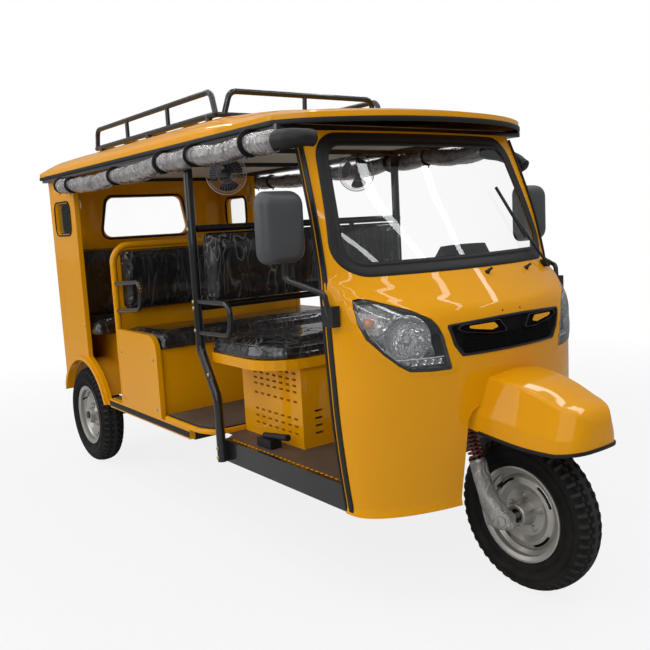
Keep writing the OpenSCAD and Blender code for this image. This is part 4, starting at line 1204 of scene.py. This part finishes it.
@dataclass
class Mudguard:
    """Front mudguard: each row is distance from the axle, half width, lower edge and top."""

    rows: tuple = ((-292, 30, 557, 592), (-288, 62, 556, 636), (-278, 88, 554, 664), (-260, 110, 551, 683),
                   (-232, 127, 547, 696), (-200, 139, 545, 706), (-120, 155, 550, 738), (-40, 164, 560, 760),
                   (60, 174, 577, 772), (170, 182, 596, 774))

    def section(self, y: float, w: float, low: float, top: float) -> list[Point]:
        """Runs over the mudguard at one distance from the axle.

        Args:
            y: Distance from the axle.
            w: Half width.
            low: Lower edge.
            top: Top.

        Returns:
            Points from the right edge to the left.
        """
        tall = top - low
        corners = [Vector(c) for c in ((-w, low), (-w * 0.975, low + tall * 0.3),
                                       (-w * 0.74, top - tall * 0.06), (0, top))]
        half = [corners[0]]
        for before, here, after in zip(corners, corners[1:], corners[2:]):
            half += [here.lerp(before, 0.2), here.lerp(before, 0.06).lerp(here.lerp(after, 0.06), 0.5),
                     here.lerp(after, 0.2)]
        full = [(p.x, y, p.y) for p in half] + [(0, y, top)] + [(-p.x, y, p.y) for p in reversed(half)]
        return spline(full, 4)

    def build(self) -> None:
        """Builds the painted guard and its black edging."""
        form = CowlForm()
        fine = spline(self.rows, 8)
        rows = [self.section(*r) for r in fine]
        shell = Mesh().grid([[(p[0] * 0.02, -292.5, 557 + (p[2] - 557) * 0.02) for p in rows[0]]] + rows)
        obj = shell.piece("mudguard_shell", [PAINT], slot="body_paint")
        wall = obj.modifiers.new("wall", "SOLIDIFY")
        wall.thickness, wall.offset = 0.005, -1
        bake(obj)
        smooth(obj, 50)
        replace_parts(obj, "front_mudguard")
        right = [(r[0][0], r[0][1], r[0][2] - 2) for r in rows if r[0][1] < form.at(r[0][0], r[0][2])[1] - 4]
        left = [(-p[0], p[1], p[2]) for p in right]
        path = right[::-1] + [(0, -293, 555)] + left
        Mesh().sweep(path, bar(5, 6, 3, 2)).piece(
            "mudguard_edging", [RUBBER], slot="rubber")


@dataclass
class Roof:
    """Roof shell with its edging."""

    half_width: float = 620
    edge_z: float = 1632
    edge_h: float = 28
    rise: float = 118
    corner_y: float = 540
    bow: float = 255
    end_y: float = 3010
    ribs: tuple = ((1, 0), (1, 0.05), (0.97, 0.26), (0.90, 0.56), (0.82, 0.76), (0.78, 0.80), (0.66, 0.80),
                   (0.56, 0.89), (0.30, 0.97), (0, 1))
    stations: tuple = ((0, 0.04), (0.03, 0.3), (0.08, 0.58), (0.16, 0.86), (0.25, 1), (0.6, 1), (0.90, 1),
                       (0.97, 0.9), (1, 0.7))

    def front(self, x: float) -> float:
        """Front edge in plan.

        Args:
            x: Distance from the middle.

        Returns:
            Its distance behind the axle.
        """
        return self.corner_y - self.bow * max(0.0, 1 - (x / self.half_width) ** 2) ** 0.7

    def section(self, share: float, height: float) -> list[Point]:
        """One section across the roof.

        Args:
            share: Share of the way from the corners back.
            height: Share of the full rise.

        Returns:
            Points from the right edge to the left.
        """
        half = [(1.0, 0.0)] + spline(self.ribs[1:], 4)
        pts = [(-a * self.half_width, 0.0 if k == 0 else self.edge_h + (self.rise - self.edge_h) * b * height)
               for k, (a, b) in enumerate(half)]
        pts += [(-x, h) for x, h in reversed(pts[:-1])]
        fade, start = max(0.0, 1 - share / 0.16), self.corner_y
        return [(x, start + (self.end_y - start) * share + (self.front(x) - start) * fade, self.edge_z + h)
                for x, h in pts]

    def build(self) -> None:
        """Builds the shell and the edging."""
        rows = [self.section(*s) for s in spline(self.stations, 6)]
        rows = [[(x, y, self.edge_z) for x, y, _ in rows[0]]] + rows + [[(x, y, self.edge_z) for x, y,
                                                                         _ in rows[-1]]]
        obj = Mesh().grid(rows).piece("roof_skin", [PAINT], slot="body_paint", angle=45)
        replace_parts(obj, "roof_shell")
        right = [r[0] for r in rows[1:-1]]
        path = right + [(x, y, self.edge_z) for x, y, _ in rows[-1][1:-1]] + [(-x, y, z) for x, y,
                                                                              z in reversed(right)]
        path += [(x, y, self.edge_z) for x, y, _ in reversed(rows[0][1:-1])]
        slim = [path[0]]
        for p in path[1:]:
            if (Vector(p) - Vector(slim[-1])).length > 8:
                slim.append(p)
        slim = [(x, y, z + 4) for x, y, z in slim]
        Mesh().sweep(slim, rounded(((-5, -9), (4, -9), (4, 9), (-5, 9)), 3, 2), closed=True).piece(
            "roof_edging", [RUBBER], slot="rubber")


@dataclass
class Tyre:
    """Tyre with shoulder lugs and a zigzag tread."""

    name: str
    node: str
    body: Body
    centre: Point
    radius: float = 272
    width: float = 125
    bead: float = 154
    rim: float = 169
    rim_half: float = 45
    shoulder: float = 236
    lug_x: float = 34
    lug_depth: float = 9.0
    groove_depth: float = 5.5
    steps: int = 288
    lugs: int = 48

    def build(self) -> None:
        """Builds the tyre."""
        half, mid = self.width / 2, (self.radius + 167.5) / 2 - 6
        line: list[tuple[float, float, float]] = [(self.bead, 43, 0), (self.rim, self.rim_half, 0)]
        for k in range(41):
            t = math.radians(-20 + 5 * k)
            c, s = math.cos(t), math.sin(t)
            r = mid + (self.radius - mid) * math.copysign(abs(s) ** 0.8, s)
            share = max(0.0, (r - self.shoulder) / (self.radius - self.shoulder))
            line.append((r, half * math.copysign(abs(c) ** 0.8, c), share))
        line += [(self.rim, -self.rim_half, 0), (self.bead, -43, 0)]
        rows, raised = [], []
        for i, turn in enumerate(turns(self.steps)):
            phase = (i * self.lugs / self.steps) % 1
            row = []
            for r, a, share in line:
                cut_in = 0.0
                if abs(a) > self.lug_x and share > 0.05:
                    own = phase if a > 0 else (phase + 0.5) % 1
                    cut_in = self.lug_depth * share if own < 0.42 else 0.0
                elif share > 0.7:
                    groove = 22 + 4 * (1 if phase < 0.5 else -1)
                    cut_in = self.groove_depth if abs(abs(a) - groove) < 3.6 else 0.0
                row.append((a, (r - cut_in) * math.cos(turn), (r - cut_in) * math.sin(turn)))
                raised.append(share > 0.3 and not cut_in)
            rows.append([(self.centre[0] + p[0], self.centre[1] + p[1], self.centre[2] + p[2]) for p in row])
        mesh = Mesh().grid(rows, ring=True)
        mesh.marks = [int(all(raised[k] for k in face)) for face in mesh.faces]
        cx, cy, cz = self.centre
        for r, out in ((190, 60.5), (226, 63.2)):
            for side in SIDES:
                rib = [(cx + side * out, cy + a, cz + b) for a, b in circle(r, 96)]
                mesh.sweep(rib, circle(1.6, 6), closed=True, up=(1, 0, 0))
        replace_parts(mesh.piece(self.name, [TYRE, TREAD], self.body, "tyre_rubber", angle=40), self.node)


@dataclass
class Cushion:
    """Seat or backrest made soft from its CAD node: swollen by pressure inside its cover, then creased."""

    node: str
    held: Callable[[Vector, Vector, Vector], bool]
    voxel: float = 9.6
    swell: float = 8.0
    crease: float = 2.2

    def build(self) -> bpy.types.Object:
        """Builds the soft piece in place of its node.

        Returns:
            The piece.
        """
        obj = stand(self.node + "_soft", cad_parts[self.node].data.copy())
        mesh = obj.modifiers.new("mesh", "REMESH")
        mesh.mode, mesh.voxel_size = "VOXEL", self.voxel / 1000
        bake(obj)
        self.inflate(obj)
        obj.modifiers.new("fine", "SUBSURF").levels = 1
        bake(obj)
        self.wrinkle(obj)
        obj.data.materials.clear()
        obj.data.materials.append(VINYL.material())
        smooth(obj, 180)
        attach(obj, Body.SHELL.value)
        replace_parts(obj, self.node)
        log.info("%s: %d faces", obj.name, len(obj.data.polygons))
        return obj

    def inflate(self, obj: bpy.types.Object) -> None:
        """Swells the cover, with the side against its frame held and no point moved too far.

        Args:
            obj: The piece.
        """
        low, high = (Vector(c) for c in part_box(self.node))
        rest = [v.co.copy() for v in obj.data.vertices]
        pins = obj.vertex_groups.new(name="held")
        pins.add([i for i, co in enumerate(rest) if self.held(co, low, high)], 1.0, "REPLACE")
        cloth = obj.modifiers.new("swell", "CLOTH")
        cloth.settings.vertex_group_mass = "held"
        cloth.settings.use_pressure = True
        cloth.settings.uniform_pressure_force = 4
        cloth.settings.effector_weights.gravity = 0
        cloth.settings.quality = 4
        cloth.point_cache.frame_start, cloth.point_cache.frame_end = 1, 20
        scene = bpy.context.scene
        for step in range(1, 21):
            scene.frame_set(step)
            bpy.context.view_layer.update()
        bake(obj)
        scene.frame_set(1)
        cap = self.swell / 1000
        for v, co in zip(obj.data.vertices, rest):
            move = v.co - co
            if move.length > cap:
                v.co = co + move * (cap / move.length)

    def wrinkle(self, obj: bpy.types.Object) -> None:
        """Draws shallow folds into the cover.

        Args:
            obj: The piece.
        """
        for v, n in zip(obj.data.vertices, [v.normal.copy() for v in obj.data.vertices]):
            wave = noise.noise(v.co * 9) + 0.5 * noise.noise(v.co * 21)
            fold = max(0.0, noise.ridged_multi_fractal(v.co * 5, 1.0, 2.0, 3, 1.0, 2.0) - 1.5)
            v.co += n * (wave - fold) * self.crease / 2000


@dataclass
class CurtainRoll:
    """Clear side curtain rolled up under the roof's edge, with its ties and the black sleeve at its front."""

    side: int
    ties: tuple
    sleeve: tuple
    x: float = 630
    radius: float = 45
    broad_ties: tuple = (1342, 655)

    @property
    def name(self) -> str:
        """Side of the vehicle that the roll is on."""
        return "left" if self.side > 0 else "right"

    def middle(self, y: float) -> tuple[Vector, float]:
        """Finds the roll's middle and how loose it is there.

        Args:
            y: Distance behind the axle.

        Returns:
            The middle, and 0 at a tie to 1 between ties.
        """
        (low, z0), (high, z1) = next(pair for pair in zip(self.ties, self.ties[1:]) if y <= pair[1][0])
        t = (y - low) / (high - low)
        loose = math.sin(math.pi * t)
        sag = 15 * loose * min(1.0, (high - low) / 400)
        return Vector((self.side * self.x, y, z0 + (z1 - z0) * t - sag)), loose

    def build(self) -> bpy.types.Object:
        """Builds the roll, its ties and its sleeve.

        Returns:
            The roll.
        """
        steps, sides, (front, back) = 260, 30, (self.ties[0][0], self.ties[-1][0])
        rows = []
        for k in range(steps + 1):
            mid, loose = self.middle(front + (back - front) * k / steps)
            row = []
            for a, b in circle(1, sides):
                p = mid + Vector((a, 0, b)) * 26
                crumple = (5.0 * noise.noise(p * 0.011) + 3.0 * noise.noise(p * 0.04)
                           + 1.5 * noise.noise(p * 0.11))
                r = self.radius - 11 * (1 - loose) ** 3 + crumple * (0.3 + 0.7 * loose) - 2.5
                row.append(mid + Vector((a * r, 0, b * r * 0.94)))
            rows.append(row)
        roll = Mesh().grid(rows, around=True)
        for row, way in ((rows[0], -1), (rows[-1], 1)):
            mid = sum(row, Vector()) / sides
            curl = [mid + Vector((math.cos(t), 0, math.sin(t))) * (4 + 3.1 * t) + Vector((0, way * 1.5, 0))
                    for t in (k * 0.35 for k in range(20))]
            roll.fan(row).tube(curl, 1.6, 6)
        obj = roll.piece("curtain_roll_" + self.name, [FILM], slot="curtain_film", angle=80)
        bands = Mesh()
        for y, _ in self.ties[1:]:
            mid, _ = self.middle(y)
            wide = 13 if y in self.broad_ties else 8
            loop = [mid + Vector((a, 0, b)) for a, b in circle(self.radius - 9, 28)]
            bands.sweep(loop, bar(wide, 3, 1.5, 2), closed=True, up=(0, 1, 0))
            loose_end = ((8, 0, -24), (11, 3, -38), (10, 8, -52))
            tail = [mid + Vector((self.side * a, b, c)) for a, b, c in loose_end]
            bands.sweep(tail, ((-5, -1), (5, -1), (5, 1), (-5, 1)), up=(1, 0, 0))
        bands.piece("curtain_ties_" + self.name, [RUBBER], slot="rubber")
        path = [Vector(p) for p in spline(self.sleeve, 6)]
        wrap = []
        for k, (p, q) in enumerate(zip(path, path[1:] + path[-1:])):
            ahead = (q - p if k < len(path) - 1 else p - path[k - 1]).normalized()
            across = ahead.cross(Vector((0, 0, 1))).normalized()
            rise = across.cross(ahead)
            t = k / (len(path) - 1)
            r = self.radius - 10 - 8 * t - (10 if t == 1 else 0)
            row = []
            for a, b in circle(1, 26):
                crumple = 2 * noise.noise((p + across * a * 30 + rise * b * 30) * 0.03)
                row.append(p + (across * a + rise * b) * (r + crumple))
            wrap.append(row)
        Mesh().grid(wrap, around=True).fan(wrap[0]).fan(wrap[-1]).piece(
            "curtain_sleeve_" + self.name, [RUBBER], slot="rubber", angle=60)
        return obj


@dataclass
class CabinFan:
    """Small fan hung from the roof: wire cage, motor and stem, with three blades that turn."""

    name: str
    body: Body
    hub: Point
    cage: float = 86.5
    wires: int = 36
    ceiling: float = 1611

    def at(self, radius: float, turn: float, along: float) -> Vector:
        """Finds a point round the fan's axle.

        Args:
            radius: Distance from the axle.
            turn: Angle round the axle in radians.
            along: Distance along the axle, towards the rear.

        Returns:
            The point.
        """
        axle, across = Vector((0.5, math.sqrt(0.75), 0)), Vector((math.sqrt(0.75), -0.5, 0))
        way = across * math.cos(turn) + Vector((0, 0, math.sin(turn)))
        return Vector(self.hub) + way * radius + axle * along

    def build(self) -> tuple[bpy.types.Object, bpy.types.Object]:
        """Builds the fixed half and the blades.

        Returns:
            The fixed half and the blades.
        """
        still = Mesh()
        for radius, along, thick in ((self.cage, 0, 2.2), (76, 21, 0.8), (40, 28, 0.5), (76, -21, 0.8),
                                     (40, -28, 0.5)):
            still.tube([self.at(radius, t, along) for t in turns(48)], thick, 6, closed=True)
        for t in turns(self.wires):
            for way in (-1, 1):
                bent = ((20, 28), (60, 28), (78, 20), (self.cage, 0))
                still.tube([self.at(r, t, way * a) for r, a in bent], 0.45, 4)
        axle = tuple(self.at(0, 0, 1) - Vector(self.hub))
        still.turned([(0.4, 27), (22, 27), (22, 30), (18, 32), (0.4, 32)], self.hub, axle, 32, 1)
        still.turned([(0.4, -78), (13, -78), (19, -75), (22, -68), (23, -22), (21, -16), (0.4, -16)],
                     self.hub, axle, 32, 1)
        foot = self.at(0, 0, -43)
        still.sweep([foot, Vector((foot.x, foot.y, self.ceiling))], circle(8, 14), up=(1, 0, 0), mark=1)
        flange = [(0.4, 0), (28, 0), (30, 3), (30, 9), (0.4, 9)]
        still.turned(flange, (foot.x, foot.y, self.ceiling - 9), (0, 0, 1), 28, 1)
        fixed = still.piece("fan_cage_" + self.name, [FAN_WIRE, FAN_DARK], slot="fan_wire")
        moving = Mesh().turned([(0.4, -15), (15, -15), (15, 8), (12, 10), (0.4, 10)], self.hub, axle, 28)
        pitch = math.tan(math.radians(21))
        for k in range(3):
            rows = []
            for j in range(15):
                r = 13 + 59 * j / 14
                narrow = 0.82 if j == 14 else 1
                spread = math.radians(26 + 12 * math.sin(math.pi * min(1.0, j / 13) * 0.62)) * narrow
                loop = [(u / 8 - 1, 0.8) for u in range(17)] + [(1 - u / 8, -0.8) for u in range(17)]
                rows.append([self.at(r, math.radians(120 * k + 40) + u * spread, pitch * r * spread * u + d)
                             for u, d in loop])
            moving.grid(rows, around=True).fan(rows[0]).fan(rows[-1])
        return fixed, moving.piece("fan_rotor_" + self.name, [FAN_BLUE], self.body, "fan_plastic")


@dataclass
class MirrorHead:
    """Mirror housing with its glass."""

    name: str
    centre: Point
    half_w: float = 86
    half_h: float = 118

    def ring(self, share: float, y: float, corner: float = 42) -> list[Point]:
        """One outline of the housing.

        Args:
            share: Size of the outline.
            y: Distance behind the housing's middle.
            corner: Radius of its corners.

        Returns:
            The outline.
        """
        w, h = self.half_w * share, self.half_h * (1 - (1 - share) * 0.8)
        cx, cy, cz = self.centre
        return [(cx + a, cy + y, cz + b) for a, b in bar(w, h, corner * share, 8)]

    def build(self) -> tuple[bpy.types.Object, bpy.types.Object]:
        """Builds the housing and the glass.

        Returns:
            Both pieces.
        """
        shell = Mesh()
        form = ((0.03, -36), (0.3, -35.5), (0.5, -34.5), (0.66, -32), (0.78, -28), (0.86, -22), (0.925, -13),
                (0.965, -2), (0.99, 10), (1.0, 22), (0.99, 25.5), (0.95, 26), (0.925, 24), (0.92, 20))
        rows = [self.ring(s, y) for s, y in form]
        shell.grid(rows, around=True).fan(rows[0])
        housing = shell.piece("mirror_shell_" + self.name, [SHELL_GREY], slot="black_plastic", angle=50)
        glass = Mesh().grid([self.ring(s, 20.5) for s in (0.93, 0.5, 0.03)], around=True)
        return housing, glass.piece("mirror_glass_" + self.name, [MIRROR])


@dataclass
class SmallParts:
    """Fixings, nozzles, straps, coils and trims."""

    def build(self) -> None:
        """Builds every small piece."""
        for make in (self.bolts, self.nozzle, self.coils, self.strap, self.sill_line, self.valves, self.tail,
                     self.deck, self.front_wheel, self.arm_loops, self.window_beads):
            make()

    @staticmethod
    def bolts() -> None:
        """Puts round bolt heads on the pillars, brackets and seat plates."""
        heads = Mesh()
        sides = [(-589, 1127, z) for z in (352, 392)] + [(-589, 1160, 700), (-589, 1245, 880),
                                                         (-589, 1245, 1000)]
        sides += [(-589, 1245, z) for z in (974, 1302)]
        sides += [(-580, y, z) for y in (1720, 2100) for z in (460, 700)]
        sides += [(-583, 2600, z) for z in (800, 1100, 1540)]
        for p in sides:
            heads.turned([(8, 0), (8, 2), (6, 4), (3, 5), (0.4, 5.2)], p, (-1, 0, 0), 14)
        heads.mirrored().piece("bolt_heads", [BRASS], slot="wheel_steel")

    @staticmethod
    def nozzle() -> None:
        """Puts the washer nozzle and the wiper's nut on the hood."""
        form, small = CowlForm(), Mesh()
        for x, z in ((12, 1096), (252, 1092)):
            spot = Vector(form.at(x, z, 0))
            small.turned([(9, -3), (9, 4), (7, 6), (5, 14), (4, 16), (0.4, 16)], spot, (0.1, -0.75, 0.7), 16)
            small.turned([(5, -2), (5, 13), (0.4, 14)], spot + Vector((0, -10, 9)), (0.9, -0.3, 0.5), 10)
        for x in (-52, 36):
            small.turned([(5, -2), (5, 2), (3, 3.5), (0.4, 3.8)], form.at(x, 976, 0), (0, -1, 0.2), 10)
        small.piece("washer_nozzle", [PLASTIC], slot="black_plastic")

    @staticmethod
    def coils() -> None:
        """Winds the two fork springs."""
        up = Vector((0, math.sin(FORK_RAKE), math.cos(FORK_RAKE)))
        out = Vector((0, math.cos(FORK_RAKE), -math.sin(FORK_RAKE)))
        coil = Mesh()
        foot, windings, length, count = 455, 8.5, 132, 170
        base = Vector((0, FORK_Y + (foot - AXLE_Z) * math.tan(FORK_RAKE), foot))
        for side in SIDES:
            path = [base + Vector((side * FORK_X, 0, 0)) + up * (5 + (length - 10) * k / count)
                    + (Vector((1, 0, 0)) * math.cos(a) + out * math.sin(a)) * 22.5
                    for k, a in ((k, 2 * math.pi * windings * k / count) for k in range(count + 1))]
            coil.tube(path, 4.6, 8)
        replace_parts(coil.piece("spring_coils", [SPRING], Body.FORK, "spring_paint", angle=60), "fork_springs")

    @staticmethod
    def strap() -> None:
        """Hangs a tan strap with a ring at the rear right and left corners."""
        band = Mesh()
        path = spline([(-548, 2600, 1556), (-549, 2604, 1530), (-549, 2606, 1502)], 5)
        band.sweep(path, bar(13, 1.4, 1, 2), up=(1, 0, 0))
        band.tube([(-549, 2606 + a, 1472 + b) for a, b in circle(30, 30)], 4.5, 8, closed=True)
        band.mirrored().piece("hand_straps", [STRAP], slot="lining")

    @staticmethod
    def sill_line() -> None:
        """Marks the floor's front edges with a broken yellow line."""
        dash = Mesh()
        for k in range(26):
            y = 360 + 29 * k
            dash.block((-528, y, 420), (-522, y + 17, 421.4))
        dash.mirrored().piece("sill_dashes", [PAINT], slot="body_paint")

    @staticmethod
    def valves() -> None:
        """Puts a valve in each wheel."""
        for name, body, x, y in WHEELS:
            side = 1 if x > 0 else -1
            foot = Vector((x + side * 20, y + 128 * math.cos(0.7), AXLE_Z + 128 * math.sin(0.7)))
            stem = [(4, 0), (4, 18), (5, 19), (5, 30), (0.4, 31)]
            valve = Mesh().turned(stem, foot, (side, -0.25, -0.2), 12)
            valve.piece("valve_" + name, [RUBBER], body, "rubber")

    @staticmethod
    def deck() -> None:
        """Raises the middle floor behind a yellow nosing, and lets a black strip into each rear sill."""
        half = spline([(-577, 1640), (-577, 1360), (-566, 1290), (-534, 1232), (-470, 1212), (-380, 1208),
                       (-200, 1208)], 6)
        front = half + [(-x, y) for x, y in reversed(half)]

        def edge(inset: float, z: float) -> list[Point]:
            """Moves the deck's front edge inwards.

            Args:
                inset: Distance inwards.
                z: Height.

            Returns:
                The points of the edge.
            """
            return [(x * (1 - inset / 577), y + (inset if y < 1600 else 0), z) for x, y in front]

        deck = Mesh().grid([edge(-1, 420.3), edge(-1, 432), edge(2, 438), edge(7, 440), edge(13, 440),
                            edge(16, 438)])
        deck.piece("deck_nosing", [PAINT], slot="body_paint")
        mat = Mesh().grid([edge(14, 439), edge(15, 443), edge(18, 445)], mark=1)
        top = edge(18, 445)
        count = len(top) // 2
        mat.grid([[Vector(a).lerp(Vector(b), k / 12) for k in range(13)]
                  for a, b in zip(top[:count], top[::-1])])
        mat.piece("deck_mat", [DECK_MAT, RUBBER], slot="floor_mat")
        strip = Mesh()
        strip.sweep([(-580.5, y, 397) for y in range(1396, 2321, 28)], bar(2, 14, 1.5, 2))
        strip.mirrored().piece("sill_strips", [RUBBER], slot="rubber")

    @staticmethod
    def front_wheel() -> None:
        """Wraps the fork's sliders in film, and puts a dark brake drum behind the wheel's slots, as painted
        shade seen through them.
        """
        wrap, slope, axle = Mesh(), math.tan(FORK_RAKE), (0, 0, AXLE_Z)
        form = ((452, 0, 30, 30), (446, 0, 31, 31), (380, 0, 31, 31), (330, -4, 33, 36), (306, -16, 34, 50),
                (284, -28, 34, 60), (262, -30, 33, 60), (244, -26, 30, 50), (236, -22, 20, 34),
                (235, -22, 2, 3))
        for side in SIDES:
            rows = []
            for h, ahead, wide, long in spline(form, 6):
                mid = Vector((side * FORK_X, FORK_Y + (h - AXLE_Z) * slope + ahead, h))
                row = []
                for a, b in circle(1, 36):
                    crumple = 1 + 0.09 * noise.noise((mid + Vector((a, b, 0)) * 40) * 0.035)
                    row.append(mid + Vector((a * wide, b * long, 0)) * crumple)
                rows.append(row)
            wrap.grid(rows, around=True)
        wrap.piece("slider_wraps", [WRAP], Body.FORK, "fork_alloy", angle=70)
        # Painted shade: a dark drum behind the rim's slots, so that they read dark.
        drum = Mesh().turned([(36, 24), (36, 34), (60, 38), (138, 38), (142, 34), (142, 24), (138, 22),
                              (60, 22), (36, 24)], axle, (1, 0, 0), 48)
        drum.piece("front_drum_slot_shade", [DRUM_AND_SLOT_SHADE], Body.FRONT_WHEEL, "wheel_steel")
        hub = Mesh()
        for side in SIDES:
            hub.turned([(36, 54), (36, 63), (33, 66), (25, 66), (23, 63)], axle, (side, 0, 0), 36)
            hub.turned([(23, 63), (22.5, 57), (11, 57)], axle, (side, 0, 0), 36, 1)
        hub.piece("front_hub", [STEEL, LAMP_BLACK], Body.FRONT_WHEEL, "wheel_steel")

    @staticmethod
    def arm_loops() -> None:
        """Covers the hand loops beside the middle bench in black."""
        corners = ((2130, 1047), (1830, 1064), (1854, 930), (2130, 907))
        bend = rounded(corners, 40, 6)[7:21]
        path = [(-564, y, z) for y, z in (corners[0],) + tuple(bend) + (corners[3],)]
        Mesh().sweep(path, circle(11, 14), up=(1, 0, 0)).mirrored().piece("arm_loops", [BLACK],
                                                                          slot="black_paint")

    @staticmethod
    def window_beads() -> None:
        """Lays black rubber round the quarter windows and the rear window, inside and out."""
        section = ((18, 2), (16, -6), (-4, -6), (-9, 0), (-9, 25), (-4, 33), (12, 33), (14, 26))
        beads = Mesh()

        def grown(outline: Sequence[Flat], edge: float) -> list[Flat]:
            """Widens a window's outline and rounds it.

            Args:
                outline: Corners.
                edge: Distance outwards.

            Returns:
                The outline.
            """
            mid = sum((Vector(p) for p in outline), Vector((0, 0))) / len(outline)
            wider = [(a + math.copysign(edge, a - mid.x), b + math.copysign(edge, b - mid.y))
                     for a, b in outline]
            return rounded(wider, 40 + edge, 6)

        quarter = ((2667, 1312), (2901, 1312), (2901, 1482), (2667, 1482))
        beads.grid([[(-558 - deep + 2, y, z) for y, z in grown(quarter, edge)] for edge, deep in section],
                   around=True, ring=True)
        beads.mirrored()
        back = ((-290, 1280), (290, 1280), (245, 1517), (-245, 1517))
        beads.grid([[(x, 2960 + deep, z) for x, z in grown(back, edge)] for edge, deep in section],
                   around=True, ring=True)
        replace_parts(beads.piece("window_beads", [RUBBER], slot="rubber", angle=50), "window_seals")

    @staticmethod
    def tail() -> None:
        """Divides the tail lamps into amber, red and white lenses, with round reflectors below."""
        lens = Mesh()
        for mark, low, high in ((1, 700, 754), (0, 630, 694), (2, 566, 624)):
            ring = rounded(((-546, low), (-478, low), (-478, high), (-546, high)), 10, 4)
            rows = [[(x, y, z) for x, z in ring] for y in (3006, 3010)]
            mid, part = (low + high) / 2, 0.86
            rows.append([(-512 + (x + 512) * part, 3012, mid + (z - mid) * part) for x, z in ring])
            lens.grid(rows, around=True, mark=mark).fan(rows[-1][::-1], mark)
            for k in range(1, 5):
                h = low + (high - low) * k / 5
                lens.block((-540, 3012, h - 1), (-484, 3013.2, h + 1), mark)
        lens.turned([(30, 0), (30, 5), (26, 7), (0.5, 7)], (-512, 2985, 470), (0, 1, 0), 28)
        lens.mirrored().piece("tail_lenses", [RED, AMBER, WHITE_LENS], slot="red_lens", bevel=0.6)


def paint_cad() -> None:
    """Gives every CAD node its finish and smooth shading."""
    for finish, names in CAD_FINISHES.items():
        for name in names:
            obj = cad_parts[name]
            obj.data.materials.clear()
            obj.data.materials.append(finish.material())
            smooth(obj, 30)
    log.info("finishes laid on %d nodes", len(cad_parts))


def main() -> None:
    """Builds the whole vehicle and the studio round it."""
    logging.basicConfig(level=logging.INFO)
    paint_cad()
    Cowl().build()
    Mudguard().build()
    Roof().build()
    for name, body, x, y in WHEELS:
        node = "front_tyre" if name == "front" else "rear_tyre_" + name[5:]
        Tyre("tread_" + name, node, body, (x, y, AXLE_Z)).build()
    for node in ("driver_cushion", "mid_cushion", "rear_cushion"):
        Cushion(node, lambda co, low, high: co.z < low.z + 0.02).build()
    for node in ("driver_back_pad", "mid_back_pad", "rear_back_pad"):
        Cushion(node, lambda co, low, high: co.y > high.y - 0.015).build()
    ties = ((470, 1578), (655, 1584), (1073, 1585), (1342, 1583), (1861, 1568), (2450, 1568), (2620, 1576))
    right = ((-630, 505, 1576), (-629, 455, 1575), (-618, 415, 1574), (-588, 392, 1574), (-548, 392, 1574))
    left = ((628, 720, 1578), (629, 620, 1554), (632, 550, 1524), (634, 490, 1486))
    rolls = [CurtainRoll(-1, ties, right).build(), CurtainRoll(1, ((690, 1580),) + ties[2:], left).build()]
    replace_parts(rolls[0], "curtain_rolls")
    heads = [MirrorHead("right", (-668, 432, 1292)).build(), MirrorHead("left", (645, 478, 1292)).build()]
    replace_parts(heads[0][0], "mirror_heads")
    fans = [CabinFan("right", Body.FAN_RIGHT, (-362, 1290, 1528)).build(),
            CabinFan("left", Body.FAN_LEFT, (362, 1290, 1528)).build()]
    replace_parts(fans[0][0], "cabin_fans")
    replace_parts(fans[0][1], "fan_blades_right")
    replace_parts(fans[1][1], "fan_blades_left")
    SmallParts().build()
    Studio().build()


if __name__ == "__main__":
    main()
